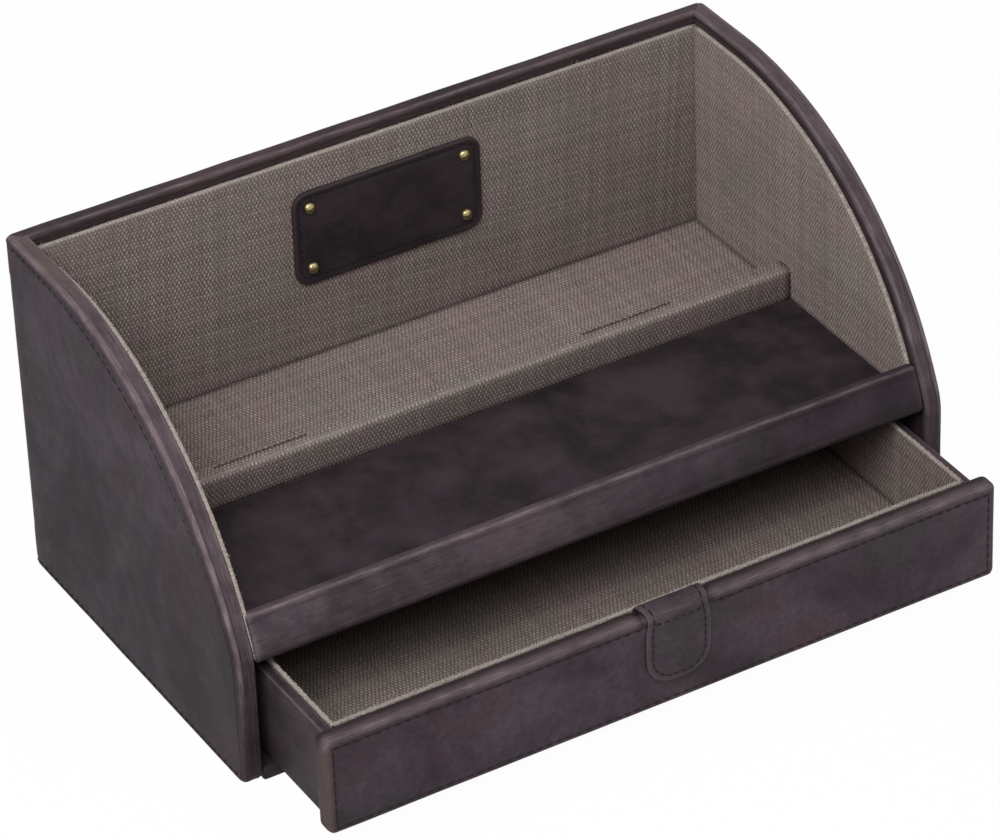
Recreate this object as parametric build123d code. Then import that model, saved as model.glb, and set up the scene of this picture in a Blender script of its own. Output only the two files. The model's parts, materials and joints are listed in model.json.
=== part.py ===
from build123d import *
import os
from math import atan2, degrees, sqrt

# A desk valet box: two curved leather side panels, a back and a base carry an
# open canvas-lined tray, and a leather-fronted drawer slides in below it.
# Millimetres. X runs along the length, -Y is the front, Z is up. The origin is
# the centre of the carcass underside.

# ---- carcass -----------------------------------------------------------------
LENGTH = 270.0              # over the side panels
DEPTH = 149.0               # front of the side panels to the back
HEIGHT = 132.0
ARC_RADIUS = 125.0          # the side panels' curved front
ARC_SETBACK = 118.0         # centre of that curve, behind the front
KNEE_RADIUS = 25.0          # where the curve turns into the upright front
FOOT_RADIUS = 5.0           # lower front corner of the side panels
ARRIS = 1.4                 # rounding of the outer edges of the leather

PANEL = 7.0                 # side and back panels, over their leather
COVER = 1.5                 # leather on the outside and round the rims
INNER_COVER = 1.0           # leather on the inside
LINING = 1.5                # canvas-covered lining boards
RIM_SHOW = 4.0              # leather rim that shows above the lining
RIM_ROUND = 0.8             # inner edge of the rim

# ---- base and tray -----------------------------------------------------------
BASE = 5.0                  # base board over its leather
SKIN = 1.2                  # leather on the base, rail and drawer front
RAIL_BOTTOM = 46.3          # also the underside of the tray floor
RAIL_TOP = 62.0
RAIL = 4.0                  # front rail over its leather
RAIL_ROUND = 1.5
FLOOR_BOARD = 2.0
FLOOR_LEATHER = 1.2
TROUGH_CANVAS = 1.0

DIVIDER_FRONT = 79.8        # its front face, behind the front of the carcass
DIVIDER = 8.0               # thickness over the canvas
DIVIDER_TOP = 61.0
DIVIDER_ROUND = 2.2
DIVIDER_CANVAS = 1.2
SLOT_CENTRES = (-78.5, 63.5)
SLOT_LENGTH = 35.0
SLOT_WIDTH = 1.0
SLOT_INSET = 2.4            # centre of a slot from the divider's back face

# ---- label -------------------------------------------------------------------
LABEL_LENGTH = 73.0
LABEL_HEIGHT = 36.6
LABEL_CORNER = 5.6
LABEL = 1.6
LABEL_X = 3.1
LABEL_Z = 96.9
LABEL_ROUND = 0.5
RIVET_MARGIN = 6.4          # rivet centre from the label's edges
RIVET_HEAD_RADIUS = 2.0
RIVET_HEAD_RISE = 1.3
RIVET_SHANK_RADIUS = 0.8

# ---- drawer ------------------------------------------------------------------
DRAWER_OPEN = 42.0          # how far it stands out at rest
DRAWER_SIDE_GAP = 0.5       # drawer front to side panel
DRAWER_FLOAT = 0.3          # drawer above the base
DRAWER_REAR_GAP = 0.6       # shut drawer to the back panel
FRONT = 7.0                 # drawer front over its leather
FRONT_HEIGHT = 37.5
FRONT_ROUND = 2.4
BOX_OVERHANG = 4.0          # drawer front past the box, each side
BOX_WALL = 2.4
BOX_FRONT_WALL = 1.4        # the front wall board, past the drawer front
BOX_LEATHER = 1.0
BOX_HEIGHT = 34.6           # over the leather of the walls
BOX_FLOOR = 2.0
BOX_LINING = 1.4
BOX_LINING_RISE = 1.1       # lining above the leather of the walls
BOX_FLOOR_LINING = 1.2

TAB_WIDTH = 24.6
TAB_DROP = 26.5
TAB_CORNER = 10.0
TAB = 1.4
TAB_X = 2.8

# ---- places worked out from the sizes above ----------------------------------
END_X = LENGTH / 2
INNER_X = END_X - PANEL
LINED_X = INNER_X - LINING
FRONT_Y = -DEPTH / 2
BACK_Y = DEPTH / 2
BACK_INNER_Y = BACK_Y - PANEL
BACK_LINED_Y = BACK_INNER_Y - LINING
ARC_Y = FRONT_Y + ARC_SETBACK
ARC_Z = HEIGHT - ARC_RADIUS
FLOOR_TOP = RAIL_BOTTOM + FLOOR_BOARD
DIVIDER_Y0 = FRONT_Y + DIVIDER_FRONT
DIVIDER_Y1 = DIVIDER_Y0 + DIVIDER


def block(x0, x1, y0, y1, z0, z1):
    """A box between two corners."""
    return Pos((x0 + x1) / 2, (y0 + y1) / 2, (z0 + z1) / 2) * Box(x1 - x0, y1 - y0, z1 - z0)


def round_corner(sketch, y, z, radius):
    """Round the corner of a sketch that is nearest to (y, z)."""
    if radius < 0.1:
        return sketch
    corner = sketch.vertices().sort_by_distance((y, z, 0))[0]
    return fillet(corner, radius)


def side_outline(inset):
    """Outline of a side panel in Y and Z, drawn in by inset along every edge."""
    front, back = FRONT_Y + inset, BACK_Y - inset
    foot, top = inset, HEIGHT - inset
    radius = ARC_RADIUS - inset
    knee = ARC_Z + sqrt(radius**2 - (ARC_Y - front) ** 2)
    turn = degrees(atan2(knee - ARC_Z, front - ARC_Y)) - 90
    outline = make_face(
        Curve()
        + [
            Line((front, foot), (back, foot)),
            Line((back, foot), (back, top)),
            Line((back, top), (ARC_Y, top)),
            CenterArc((ARC_Y, ARC_Z), radius, 90, turn),
            Line((front, knee), (front, foot)),
        ]
    )
    outline = round_corner(outline, front, knee, KNEE_RADIUS - inset)
    outline = round_corner(outline, front, foot, FOOT_RADIUS - inset)
    outline = round_corner(outline, back, top, ARRIS - inset)
    return round_corner(outline, back, foot, ARRIS - inset)


def side_slab(inset, x0, x1):
    """The side outline, drawn in by inset and thickened from x0 to x1."""
    return extrude(Plane.YZ.offset(x0) * side_outline(inset), x1 - x0)


def back_space():
    """The space of the back panel, mitred at both ends."""
    plan = make_face(
        Polyline(
            (-END_X, BACK_Y), (END_X, BACK_Y), (INNER_X, BACK_INNER_Y), (-INNER_X, BACK_INNER_Y),
            close=True,
        )
    )
    return extrude(plan, HEIGHT)


def outer_arrises(sheet, axis, at):
    """Edges of a sheet that lie on its outer face."""
    return [
        edge for edge in sheet.edges()
        if abs(getattr(edge.bounding_box().min, axis) - at) < 1e-4
        and abs(getattr(edge.bounding_box().max, axis) - at) < 1e-4
    ]


# ---- side panels: board, outer leather, rim binding, inner leather, lining ----
def left_side():
    """The pieces of the left side panel, by name."""
    back = back_space()
    outer, inner = -END_X, -INNER_X
    sheet = side_slab(0, outer, outer + COVER)
    sheet = fillet(outer_arrises(sheet, "X", outer), ARRIS)
    rim = side_slab(0, outer + COVER, inner)
    rim = fillet(outer_arrises(rim, "X", inner), RIM_ROUND) - side_slab(COVER, outer, 0)
    lining = side_slab(RIM_SHOW, inner, inner + LINING)
    lining &= block(inner, inner + LINING, FRONT_Y, BACK_LINED_Y, FLOOR_TOP, HEIGHT)
    return {
        "side_board": side_slab(COVER, outer + COVER, inner - INNER_COVER) - back,
        "side_leather": sheet - back,
        "side_binding": rim - back,
        "side_inner_leather": side_slab(COVER, inner - INNER_COVER, inner) - back,
        "side_lining": lining,
    }


# ---- back panel, built up like the sides ---------------------------------------
def back_panel():
    """The pieces of the back panel, by name."""
    keep = back_space()
    sheet = block(-END_X, END_X, BACK_Y - COVER, BACK_Y, 0, HEIGHT)
    sheet = fillet(outer_arrises(sheet, "Y", BACK_Y), ARRIS)
    rim = block(-END_X, END_X, BACK_INNER_Y, BACK_Y - COVER, 0, HEIGHT)
    top_edge = [e for e in outer_arrises(rim, "Y", BACK_INNER_Y) if e.center().Z > HEIGHT - 0.1]
    rim = fillet(top_edge, RIM_ROUND)
    rim -= block(-END_X, END_X, BACK_INNER_Y, BACK_Y, COVER, HEIGHT - COVER)
    board = block(-END_X, END_X, BACK_INNER_Y + INNER_COVER, BACK_Y - COVER, COVER, HEIGHT - COVER)
    inner = block(-END_X, END_X, BACK_INNER_Y, BACK_INNER_Y + INNER_COVER, COVER, HEIGHT - COVER)
    return {
        "back_board": board & keep,
        "back_leather": sheet & keep,
        "back_binding": rim & keep,
        "back_inner_leather": inner & keep,
        "back_lining": block(
            -INNER_X, INNER_X, BACK_LINED_Y, BACK_INNER_Y, FLOOR_TOP, HEIGHT - RIM_SHOW
        ),
    }


# ---- base ----------------------------------------------------------------------
def base():
    """Base board in a leather that wraps its underside, front edge and top."""
    core = block(-INNER_X, INNER_X, FRONT_Y + SKIN, BACK_INNER_Y, SKIN, BASE - SKIN)
    wrap = block(-INNER_X, INNER_X, FRONT_Y, BACK_INNER_Y, 0, BASE)
    front = [
        e for e in outer_arrises(wrap, "Y", FRONT_Y) if e.bounding_box().size.X > LENGTH / 2
    ]
    return {"base_board": core, "base_leather": fillet(front, SKIN) - core}


# ---- tray: front rail, floor, divider, trough ----------------------------------
def front_rail():
    """A thin rail across the front that follows the curve of the side panels."""
    def strip(inset):
        shape = side_slab(inset, -INNER_X, INNER_X) - side_slab(RAIL - inset, -END_X, END_X)
        return shape & block(
            -INNER_X, INNER_X, FRONT_Y, ARC_Y, RAIL_BOTTOM + inset, RAIL_TOP - inset
        )

    wrap = strip(0)
    long_edges = [e for e in wrap.edges() if e.bounding_box().size.X > LENGTH / 2]
    top_edges = [e for e in long_edges if e.center().Z > RAIL_TOP - 0.1]
    low_front = [e for e in long_edges if e.center().Y < FRONT_Y + RAIL / 2 and e not in top_edges]
    low_front = [e for e in low_front if e.center().Z < RAIL_BOTTOM + 0.1]
    wrap = fillet(top_edges + low_front, RAIL_ROUND)
    core = strip(SKIN)
    return {"rail_board": core, "rail_leather": wrap - core}


def tray_floor():
    """One floor board, smooth leather in front of the divider, canvas behind it."""
    inside = side_slab(RAIL, -END_X, END_X)
    board = block(-INNER_X, INNER_X, FRONT_Y, BACK_INNER_Y, RAIL_BOTTOM, FLOOR_TOP)
    leather = block(
        -LINED_X, LINED_X, FRONT_Y, DIVIDER_Y0, FLOOR_TOP, FLOOR_TOP + FLOOR_LEATHER
    )
    return {
        "tray_floor_board": board & inside,
        "tray_floor_leather": leather & inside,
        "trough_canvas": block(
            -LINED_X, LINED_X, DIVIDER_Y1, BACK_LINED_Y, FLOOR_TOP, FLOOR_TOP + TROUGH_CANVAS
        ),
    }


def divider():
    """A low canvas-wrapped bar between tray and trough, with two narrow slots."""
    wall = DIVIDER_CANVAS
    core = block(
        -LINED_X, LINED_X, DIVIDER_Y0 + wall, DIVIDER_Y1 - wall, FLOOR_TOP, DIVIDER_TOP - wall
    )
    wrap = block(-LINED_X, LINED_X, DIVIDER_Y0, DIVIDER_Y1, FLOOR_TOP, DIVIDER_TOP)
    top_edges = [
        e for e in outer_arrises(wrap, "Z", DIVIDER_TOP) if e.bounding_box().size.X > LENGTH / 2
    ]
    wrap = fillet(top_edges, DIVIDER_ROUND) - core
    slot_y = DIVIDER_Y1 - SLOT_INSET
    for x in SLOT_CENTRES:
        wrap -= block(
            x - SLOT_LENGTH / 2, x + SLOT_LENGTH / 2,
            slot_y - SLOT_WIDTH / 2, slot_y + SLOT_WIDTH / 2,
            DIVIDER_TOP - wall, DIVIDER_TOP + wall,
        )
    return {"divider_board": core, "divider_canvas": wrap}


# ---- label ---------------------------------------------------------------------
def label():
    """A plain leather patch on the back lining, held by four domed rivets."""
    face_y = BACK_LINED_Y
    plane = Plane(origin=(LABEL_X, face_y, LABEL_Z), x_dir=(1, 0, 0), z_dir=(0, -1, 0))
    patch = extrude(plane * RectangleRounded(LABEL_LENGTH, LABEL_HEIGHT, LABEL_CORNER), LABEL)
    patch = fillet(outer_arrises(patch, "Y", face_y - LABEL), LABEL_ROUND)
    sphere = (RIVET_HEAD_RADIUS**2 + RIVET_HEAD_RISE**2) / (2 * RIVET_HEAD_RISE)
    rivets = []
    for x in (-LABEL_LENGTH / 2 + RIVET_MARGIN, LABEL_LENGTH / 2 - RIVET_MARGIN):
        for z in (-LABEL_HEIGHT / 2 + RIVET_MARGIN, LABEL_HEIGHT / 2 - RIVET_MARGIN):
            spot = plane * Pos(x, z, LABEL)
            head = spot * (
                Pos(0, 0, RIVET_HEAD_RISE - sphere) * Sphere(sphere)
                & Pos(0, 0, sphere) * Cylinder(2 * sphere, 2 * sphere)
            )
            shank = spot * Pos(0, 0, -LABEL / 2) * Cylinder(RIVET_SHANK_RADIUS, LABEL)
            patch -= shank
            rivets.append(head + shank)
    return {"label_patch": patch, "label_rivets": Compound(children=rivets)}


# ---- drawer, drawn shut and then pulled out ------------------------------------
DRAWER_Z = BASE + DRAWER_FLOAT
FRONT_X = INNER_X - DRAWER_SIDE_GAP
FRONT_BACK_Y = FRONT_Y + FRONT
BOX_X = FRONT_X - BOX_OVERHANG          # over the leather of the walls
WALL_X = BOX_X - BOX_LEATHER            # outside of the wall boards
WALL_IN_X = WALL_X - BOX_WALL           # inside of the wall boards
LINED_BOX_X = WALL_IN_X - BOX_LINING
BOX_REAR_Y = BACK_INNER_Y - DRAWER_REAR_GAP
REAR_BOARD_Y = BOX_REAR_Y - BOX_LEATHER
REAR_IN_Y = REAR_BOARD_Y - BOX_WALL
BOX_FRONT_Y = FRONT_BACK_Y + BOX_FRONT_WALL  # inside of the front wall board
WALL_Z0 = DRAWER_Z + BOX_LEATHER
WALL_TOP = DRAWER_Z + BOX_HEIGHT
WALL_Z1 = WALL_TOP - BOX_LEATHER
LINING_Z0 = WALL_Z0 + BOX_FLOOR
LINING_Z1 = WALL_TOP + BOX_LINING_RISE


def drawer_front():
    """The leather-wrapped drawer front and the pull tab folded over its top."""
    solid = block(
        -FRONT_X, FRONT_X, FRONT_Y, FRONT_BACK_Y, DRAWER_Z, DRAWER_Z + FRONT_HEIGHT
    )
    core = block(
        -FRONT_X + SKIN, FRONT_X - SKIN, FRONT_Y + SKIN, FRONT_BACK_Y - SKIN,
        DRAWER_Z + SKIN, DRAWER_Z + FRONT_HEIGHT - SKIN,
    )
    box_front = block(
        -WALL_IN_X, WALL_IN_X, FRONT_BACK_Y - SKIN, BOX_FRONT_Y, WALL_Z0, WALL_Z1
    )
    wrap = fillet(solid.edges(), FRONT_ROUND)
    middle = Pos(TAB_X, FRONT_Y + FRONT / 2, DRAWER_Z + FRONT_HEIGHT / 2)
    over = RectangleRounded(FRONT + 2 * TAB, FRONT_HEIGHT + 2 * TAB, FRONT_ROUND + TAB)
    fold = middle * (Pos(-TAB_WIDTH / 2, 0, 0) * extrude(Plane.YZ * over, TAB_WIDTH)) - wrap
    tab_low = DRAWER_Z + FRONT_HEIGHT - TAB_DROP
    facing = Plane(
        origin=(TAB_X, FRONT_BACK_Y, tab_low + TAB_DROP), x_dir=(1, 0, 0), z_dir=(0, -1, 0)
    )
    flap = extrude(facing * RectangleRounded(TAB_WIDTH, 2 * TAB_DROP, TAB_CORNER), FRONT + TAB)
    behind = block(
        -LENGTH, LENGTH, FRONT_Y + FRONT / 2, FRONT_BACK_Y + TAB,
        0, DRAWER_Z + FRONT_HEIGHT - FRONT_ROUND,
    )
    return {
        "drawer_front_board": core,
        "drawer_front_leather": wrap - core - box_front,
        "drawer_box_front": box_front,
        "pull_tab": (fold & flap) - behind,
    }


def drawer_walls():
    """Boards, leather and canvas lining of the drawer's two sides and its back."""
    side = block(-WALL_X, -WALL_IN_X, FRONT_BACK_Y, REAR_BOARD_Y, WALL_Z0, WALL_Z1)
    side_leather = block(-BOX_X, -WALL_IN_X, FRONT_BACK_Y, BOX_REAR_Y, DRAWER_Z, WALL_TOP)
    side_leather -= block(-WALL_X, -WALL_IN_X, FRONT_BACK_Y, BOX_REAR_Y, DRAWER_Z, WALL_Z1)
    side_leather -= block(-WALL_X, -WALL_IN_X, REAR_BOARD_Y, BOX_REAR_Y, DRAWER_Z, WALL_TOP)
    side_lining = block(
        -WALL_IN_X, -LINED_BOX_X, BOX_FRONT_Y, REAR_IN_Y, LINING_Z0, LINING_Z1
    )
    back = block(-WALL_IN_X, WALL_IN_X, REAR_IN_Y, REAR_BOARD_Y, WALL_Z0, WALL_Z1)
    back_leather = block(-WALL_X, WALL_X, REAR_BOARD_Y, BOX_REAR_Y, DRAWER_Z, WALL_TOP)
    back_leather += block(-WALL_IN_X, WALL_IN_X, REAR_IN_Y, REAR_BOARD_Y, WALL_Z1, WALL_TOP)
    pieces = {
        "drawer_back_board": back,
        "drawer_back_leather": back_leather,
        "drawer_back_lining": block(
            -LINED_BOX_X, LINED_BOX_X, REAR_IN_Y - BOX_LINING, REAR_IN_Y, LINING_Z0, LINING_Z1
        ),
        "drawer_front_lining": block(
            -LINED_BOX_X, LINED_BOX_X, BOX_FRONT_Y, BOX_FRONT_Y + BOX_LINING, LINING_Z0, LINING_Z1
        ),
    }
    for name, piece in (("board", side), ("leather", side_leather), ("lining", side_lining)):
        pieces[f"drawer_side_{name}_left"] = piece
        pieces[f"drawer_side_{name}_right"] = mirror(piece, about=Plane.YZ)
    return pieces


def drawer_bottom():
    """Bottom board of the drawer, its leather underneath and its canvas inside."""
    return {
        "drawer_bottom_board": block(
            -WALL_IN_X, WALL_IN_X, BOX_FRONT_Y, REAR_IN_Y, WALL_Z0, LINING_Z0
        ),
        "drawer_bottom_leather": block(
            -WALL_X, WALL_X, FRONT_BACK_Y, REAR_BOARD_Y, DRAWER_Z, WALL_Z0
        ),
        "drawer_floor_lining": block(
            -LINED_BOX_X, LINED_BOX_X, BOX_FRONT_Y + BOX_LINING, REAR_IN_Y - BOX_LINING,
            LINING_Z0, LINING_Z0 + BOX_FLOOR_LINING,
        ),
    }


def all_pieces():
    """Every piece of the box at rest, by node name."""
    pieces = {}
    for name, piece in left_side().items():
        pieces[name + "_left"] = piece
        pieces[name + "_right"] = mirror(piece, about=Plane.YZ)
    for group in (back_panel(), base(), front_rail(), tray_floor(), divider(), label()):
        pieces.update(group)
    for group in (drawer_front(), drawer_walls(), drawer_bottom()):
        for name, piece in group.items():
            pieces[name] = Pos(0, -DRAWER_OPEN, 0) * piece
    return pieces


os.makedirs("parts", exist_ok=True)
for node, shape in all_pieces().items():
    export_step(shape, f"parts/{node}.step")
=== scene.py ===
import json
import math
import random

import bmesh
import bpy
from mathutils import Matrix, Vector, noise


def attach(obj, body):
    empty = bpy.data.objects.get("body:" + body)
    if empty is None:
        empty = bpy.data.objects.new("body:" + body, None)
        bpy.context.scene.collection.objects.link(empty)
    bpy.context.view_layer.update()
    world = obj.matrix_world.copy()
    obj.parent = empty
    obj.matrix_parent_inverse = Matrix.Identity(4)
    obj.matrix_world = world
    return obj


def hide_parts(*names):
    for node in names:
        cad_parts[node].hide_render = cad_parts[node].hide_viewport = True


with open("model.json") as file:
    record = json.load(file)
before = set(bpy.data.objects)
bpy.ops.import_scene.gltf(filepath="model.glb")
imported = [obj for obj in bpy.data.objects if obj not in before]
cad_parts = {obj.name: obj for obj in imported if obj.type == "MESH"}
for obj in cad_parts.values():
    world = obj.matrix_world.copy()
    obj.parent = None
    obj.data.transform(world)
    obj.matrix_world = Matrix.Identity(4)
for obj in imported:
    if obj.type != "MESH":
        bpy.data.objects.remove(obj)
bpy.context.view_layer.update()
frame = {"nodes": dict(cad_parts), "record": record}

# Sizes in millimetres, the same as in the part.
MM = 0.001
END_X, FRONT_Y, BACK_Y, HEIGHT = 135.0, -74.5, 74.5, 132.0
PANEL, LINING, RIM_SHOW = 7.0, 1.5, 4.0
INNER_X, LINED_X = 128.0, 126.5
BACK_INNER_Y, BACK_LINED_Y = 67.5, 66.0
ARC_R, ARC_Y, ARC_Z = 125.0, 43.5, 7.0
KNEE_R, FOOT_R = 25.0, 5.0
KNEE_Y = FRONT_Y + KNEE_R
KNEE_Z = ARC_Z + math.sqrt((ARC_R - KNEE_R) ** 2 - (ARC_Y - KNEE_Y) ** 2)
KNEE_TURN = math.atan2(KNEE_Z - ARC_Z, KNEE_Y - ARC_Y)
BASE = 5.0
RAIL_Z0, RAIL_Z1, RAIL = 46.3, 62.0, 4.0
FLOOR_TOP, FLOOR_LEATHER, TROUGH_CANVAS = 48.3, 1.2, 1.0
DIVIDER_Y0, DIVIDER_Y1, DIVIDER_TOP = 5.3, 13.3, 61.0
SLOT_CENTRES, SLOT_LENGTH, SLOT_INSET = (-78.5, 63.5), 35.0, 2.4
LABEL_LENGTH, LABEL_HEIGHT, LABEL_CORNER, LABEL = 73.0, 36.6, 5.6, 1.6
LABEL_X, LABEL_Z, RIVET_MARGIN = 3.1, 96.9, 6.4
DRAWER_OPEN, DRAWER_Z = 42.0, 5.3
FRONT_X, FRONT, FRONT_H = 127.5, 7.0, 37.5
BOX_X, WALL_IN_X, LINED_BOX_X = 123.5, 120.1, 118.7
WALL_TOP, LINING_Z0, LINING_Z1, BOX_FLOOR_LINING = 39.9, 8.3, 41.0, 1.2
BOX_FRONT_Y, BOX_REAR_Y, REAR_IN_Y, BOX_LINING = -66.1, 66.9, 63.5, 1.4
TAB_W, TAB_DROP, TAB_CORNER, TAB, TAB_X = 24.6, 26.5, 10.0, 1.4, 2.8

STITCH_INSET, STITCH_PITCH = 4.0, 3.7
WARP_PITCH, WEFT_PITCH = 0.71, 1.32      # the canvas's threads lie closer together across the box
X, Y, UP = Vector((1, 0, 0)), Vector((0, 1, 0)), Vector((0, 0, 1))
WHITE = (1.0, 1.0, 1.0)


# ---- materials ----
class Nodes:
    """The node tree of a material or world, built by short calls that return sockets."""

    def __init__(self, owner, output="OutputMaterial"):
        owner.use_nodes = True
        self.owner, self.tree = owner, owner.node_tree
        self.tree.nodes.clear()
        self.out = self.add(output)

    def put(self, socket, value):
        if isinstance(value, bpy.types.NodeSocket):
            self.tree.links.new(value, socket)
        elif isinstance(value, tuple) and len(value) == 3 and socket.type == "RGBA":
            socket.default_value = (*value, 1.0)
        else:
            socket.default_value = value

    def add(self, kind, inputs=None, **settings):
        made = self.tree.nodes.new("ShaderNode" + kind)
        for key, value in settings.items():
            setattr(made, key, value)
        for key, value in (inputs or {}).items():
            self.put(made.inputs[key], value)
        return made

    def math(self, operation, a, b=0.0, clamp=False):
        return self.add("Math", {0: a, 1: b}, operation=operation, use_clamp=clamp).outputs[0]

    def times(self, a, b, clamp=False):
        return self.math("MULTIPLY", a, b, clamp)

    def total(self, value, *others):
        for other in others:
            value = self.math("ADD", value, other)
        return value

    def vector(self, operation, a, b):
        return self.add("VectorMath", {0: a, 1: b}, operation=operation).outputs[0]

    def scaled(self, vector, factors):
        return self.vector("MULTIPLY", vector, factors)

    def remap(self, value, low, high, to_low=0.0, to_high=1.0):
        inputs = {0: value, 1: low, 2: high, 3: to_low, 4: to_high}
        return self.add("MapRange", inputs, clamp=True).outputs[0]

    def mix(self, factor, a, b, blend="MIX"):
        inputs = {0: factor, 6: a, 7: b}
        return self.add("Mix", inputs, data_type="RGBA", blend_type=blend).outputs[2]

    def tinted(self, colour, factor):
        return self.mix(1.0, colour, factor, "MULTIPLY")

    def cover(self, colour, mask, low, high, share, other):
        """Lays another colour over this one, up to share, where mask rises from low to high."""
        return self.mix(self.remap(mask, low, high, 0.0, share), colour, other)

    def noise(self, vector, scale, detail=2.0, roughness=0.5, distortion=0.0, seed=0.0):
        inputs = {"Vector": vector, "W": seed, "Scale": scale, "Detail": detail,
                  "Roughness": roughness, "Distortion": distortion}
        return self.add("TexNoise", inputs, noise_dimensions="4D").outputs[0]

    def wander(self, vector, scale, detail, reach):
        """A noise vector about zero, up to half of reach long along each axis."""
        colour = self.add("TexNoise", {"Vector": vector, "Scale": scale, "Detail": detail}).outputs[1]
        return self.scaled(self.vector("SUBTRACT", colour, (0.5, 0.5, 0.5)), (reach, reach, 0.0))

    def thread_tone(self, place):
        """A random value for each whole thread."""
        inputs = {"W": self.math("FLOOR", place)}
        return self.add("TexWhiteNoise", inputs, noise_dimensions="1D").outputs[0]

    def attribute(self, name):
        return self.add("Attribute", attribute_name=name).outputs["Fac"]

    def object_mm(self):
        return self.scaled(self.add("TexCoord").outputs["Object"], (1000.0, 1000.0, 1000.0))

    def uv(self):
        return self.add("TexCoord").outputs["UV"]

    def bump(self, height, strength, distance, **more):
        inputs = {"Height": height, "Strength": strength, "Distance": distance, **more}
        return self.add("Bump", inputs).outputs[0]

    def close(self, node):
        self.tree.links.new(node.outputs[0], self.out.inputs[0])
        return self.owner

    def shader(self, colour, roughness, normal, specular=0.5, metallic=0.0):
        return self.close(self.add("BsdfPrincipled", {
            "Base Color": colour, "Roughness": roughness, "Normal": normal,
            "Specular IOR Level": specular, "Metallic": metallic,
        }))


def material(name):
    return Nodes(bpy.data.materials.new(name))


def leather_material():
    """Waxed pull-up leather: smooth, clouded brown-purple, lighter and redder where it is worn."""
    n = material("leather")
    place = n.object_mm()
    clouds = n.noise(place, 0.026, 4.0, 0.55, 0.5, 3.0)
    patches = n.noise(place, 0.12, 3.0, 0.6, 0.2, 7.0)
    red = n.noise(place, 0.024, 3.0, 0.55, 0.5, 11.0)
    green = n.noise(place, 0.034, 2.0, 0.5, 0.4, 17.0)
    scuffs = n.noise(n.scaled(place, (0.10, 0.30, 0.55)), 1.0, 3.0, 0.7, 0.3, 23.0)
    mottle = n.noise(place, 0.42, 4.0, 0.72, 0.3, 41.0)
    colour = n.mix(n.remap(clouds, 0.40, 0.60), (0.031, 0.0225, 0.029), (0.067, 0.0505, 0.062))
    colour = n.cover(colour, red, 0.50, 0.66, 0.65, (0.056, 0.031, 0.038))
    colour = n.cover(colour, green, 0.52, 0.68, 0.55, (0.036, 0.0345, 0.035))
    colour = n.cover(colour, patches, 0.50, 0.74, 0.30, (0.076, 0.059, 0.068))
    colour = n.cover(colour, scuffs, 0.66, 0.76, 0.34, (0.120, 0.096, 0.106))
    tint = n.mix(n.remap(mottle, 0.34, 0.66), (0.80, 0.81, 0.83), (1.20, 1.17, 1.17))
    colour = n.tinted(colour, tint)
    streaks = n.noise(n.scaled(n.uv(), (0.10, 1.3, 0.0)), 1.0, 4.0, 0.68, 0.4)
    worn = n.times(n.attribute("wear"), n.remap(patches, 0.3, 0.62, 0.55, 1.25))
    worn = n.times(worn, n.remap(streaks, 0.34, 0.66, 0.45, 1.4), clamp=True)
    colour = n.mix(n.attribute("brown"), colour, (0.105, 0.067, 0.059))
    colour = n.mix(worn, colour, (0.215, 0.165, 0.178))
    # The dark attribute carries dark stitch lines and also painted shade in creases, grooves and shaded
    # faces.
    colour = n.mix(n.attribute("dark"), colour, (0.012, 0.009, 0.0105))
    inputs = {"Vector": place, "Scale": 1.3, "Randomness": 1.0}
    pores = n.add("TexVoronoi", inputs, feature="DISTANCE_TO_EDGE").outputs[0]
    grain = n.total(n.remap(pores, 0.0, 0.2), n.noise(place, 2.6, 3.0, 0.6))
    folds = n.times(streaks, n.attribute("fold"))
    normal = n.bump(folds, 1.0, 0.0012, Normal=n.bump(grain, 0.12, 0.0003))
    return n.shader(colour, n.remap(patches, 0.3, 0.7, 0.50, 0.64), normal, specular=0.08)


def smooth_leather_material():
    """Near-black smooth leather of the tray floor and the label."""
    n = material("smooth_leather")
    place = n.object_mm()
    clouds = n.noise(place, 0.045, 4.0, 0.62, 0.4, 5.0)
    patches = n.noise(place, 0.17, 3.0, 0.6, 0.2, 9.0)
    specks = n.noise(place, 1.1, 2.0, 0.6, 0.0, 13.0)
    colour = n.mix(n.remap(clouds, 0.40, 0.64), (0.0175, 0.013, 0.016), (0.041, 0.0295, 0.0355))
    colour = n.cover(colour, patches, 0.50, 0.74, 0.4, (0.042, 0.031, 0.032))
    colour = n.cover(colour, specks, 0.68, 0.76, 0.35, (0.085, 0.066, 0.064))
    colour = n.mix(n.times(n.attribute("wear"), 0.6), colour, (0.090, 0.072, 0.072))
    # The dark attribute carries the dark stitch line and border, and also painted shade round the rivet
    # heads.
    colour = n.mix(n.attribute("dark"), colour, (0.005, 0.004, 0.004))
    normal = n.bump(n.noise(place, 1.6, 4.0, 0.6), 0.12, 0.0004)
    return n.shader(colour, n.remap(patches, 0.35, 0.7, 0.50, 0.62), normal, specular=0.07)


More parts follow.
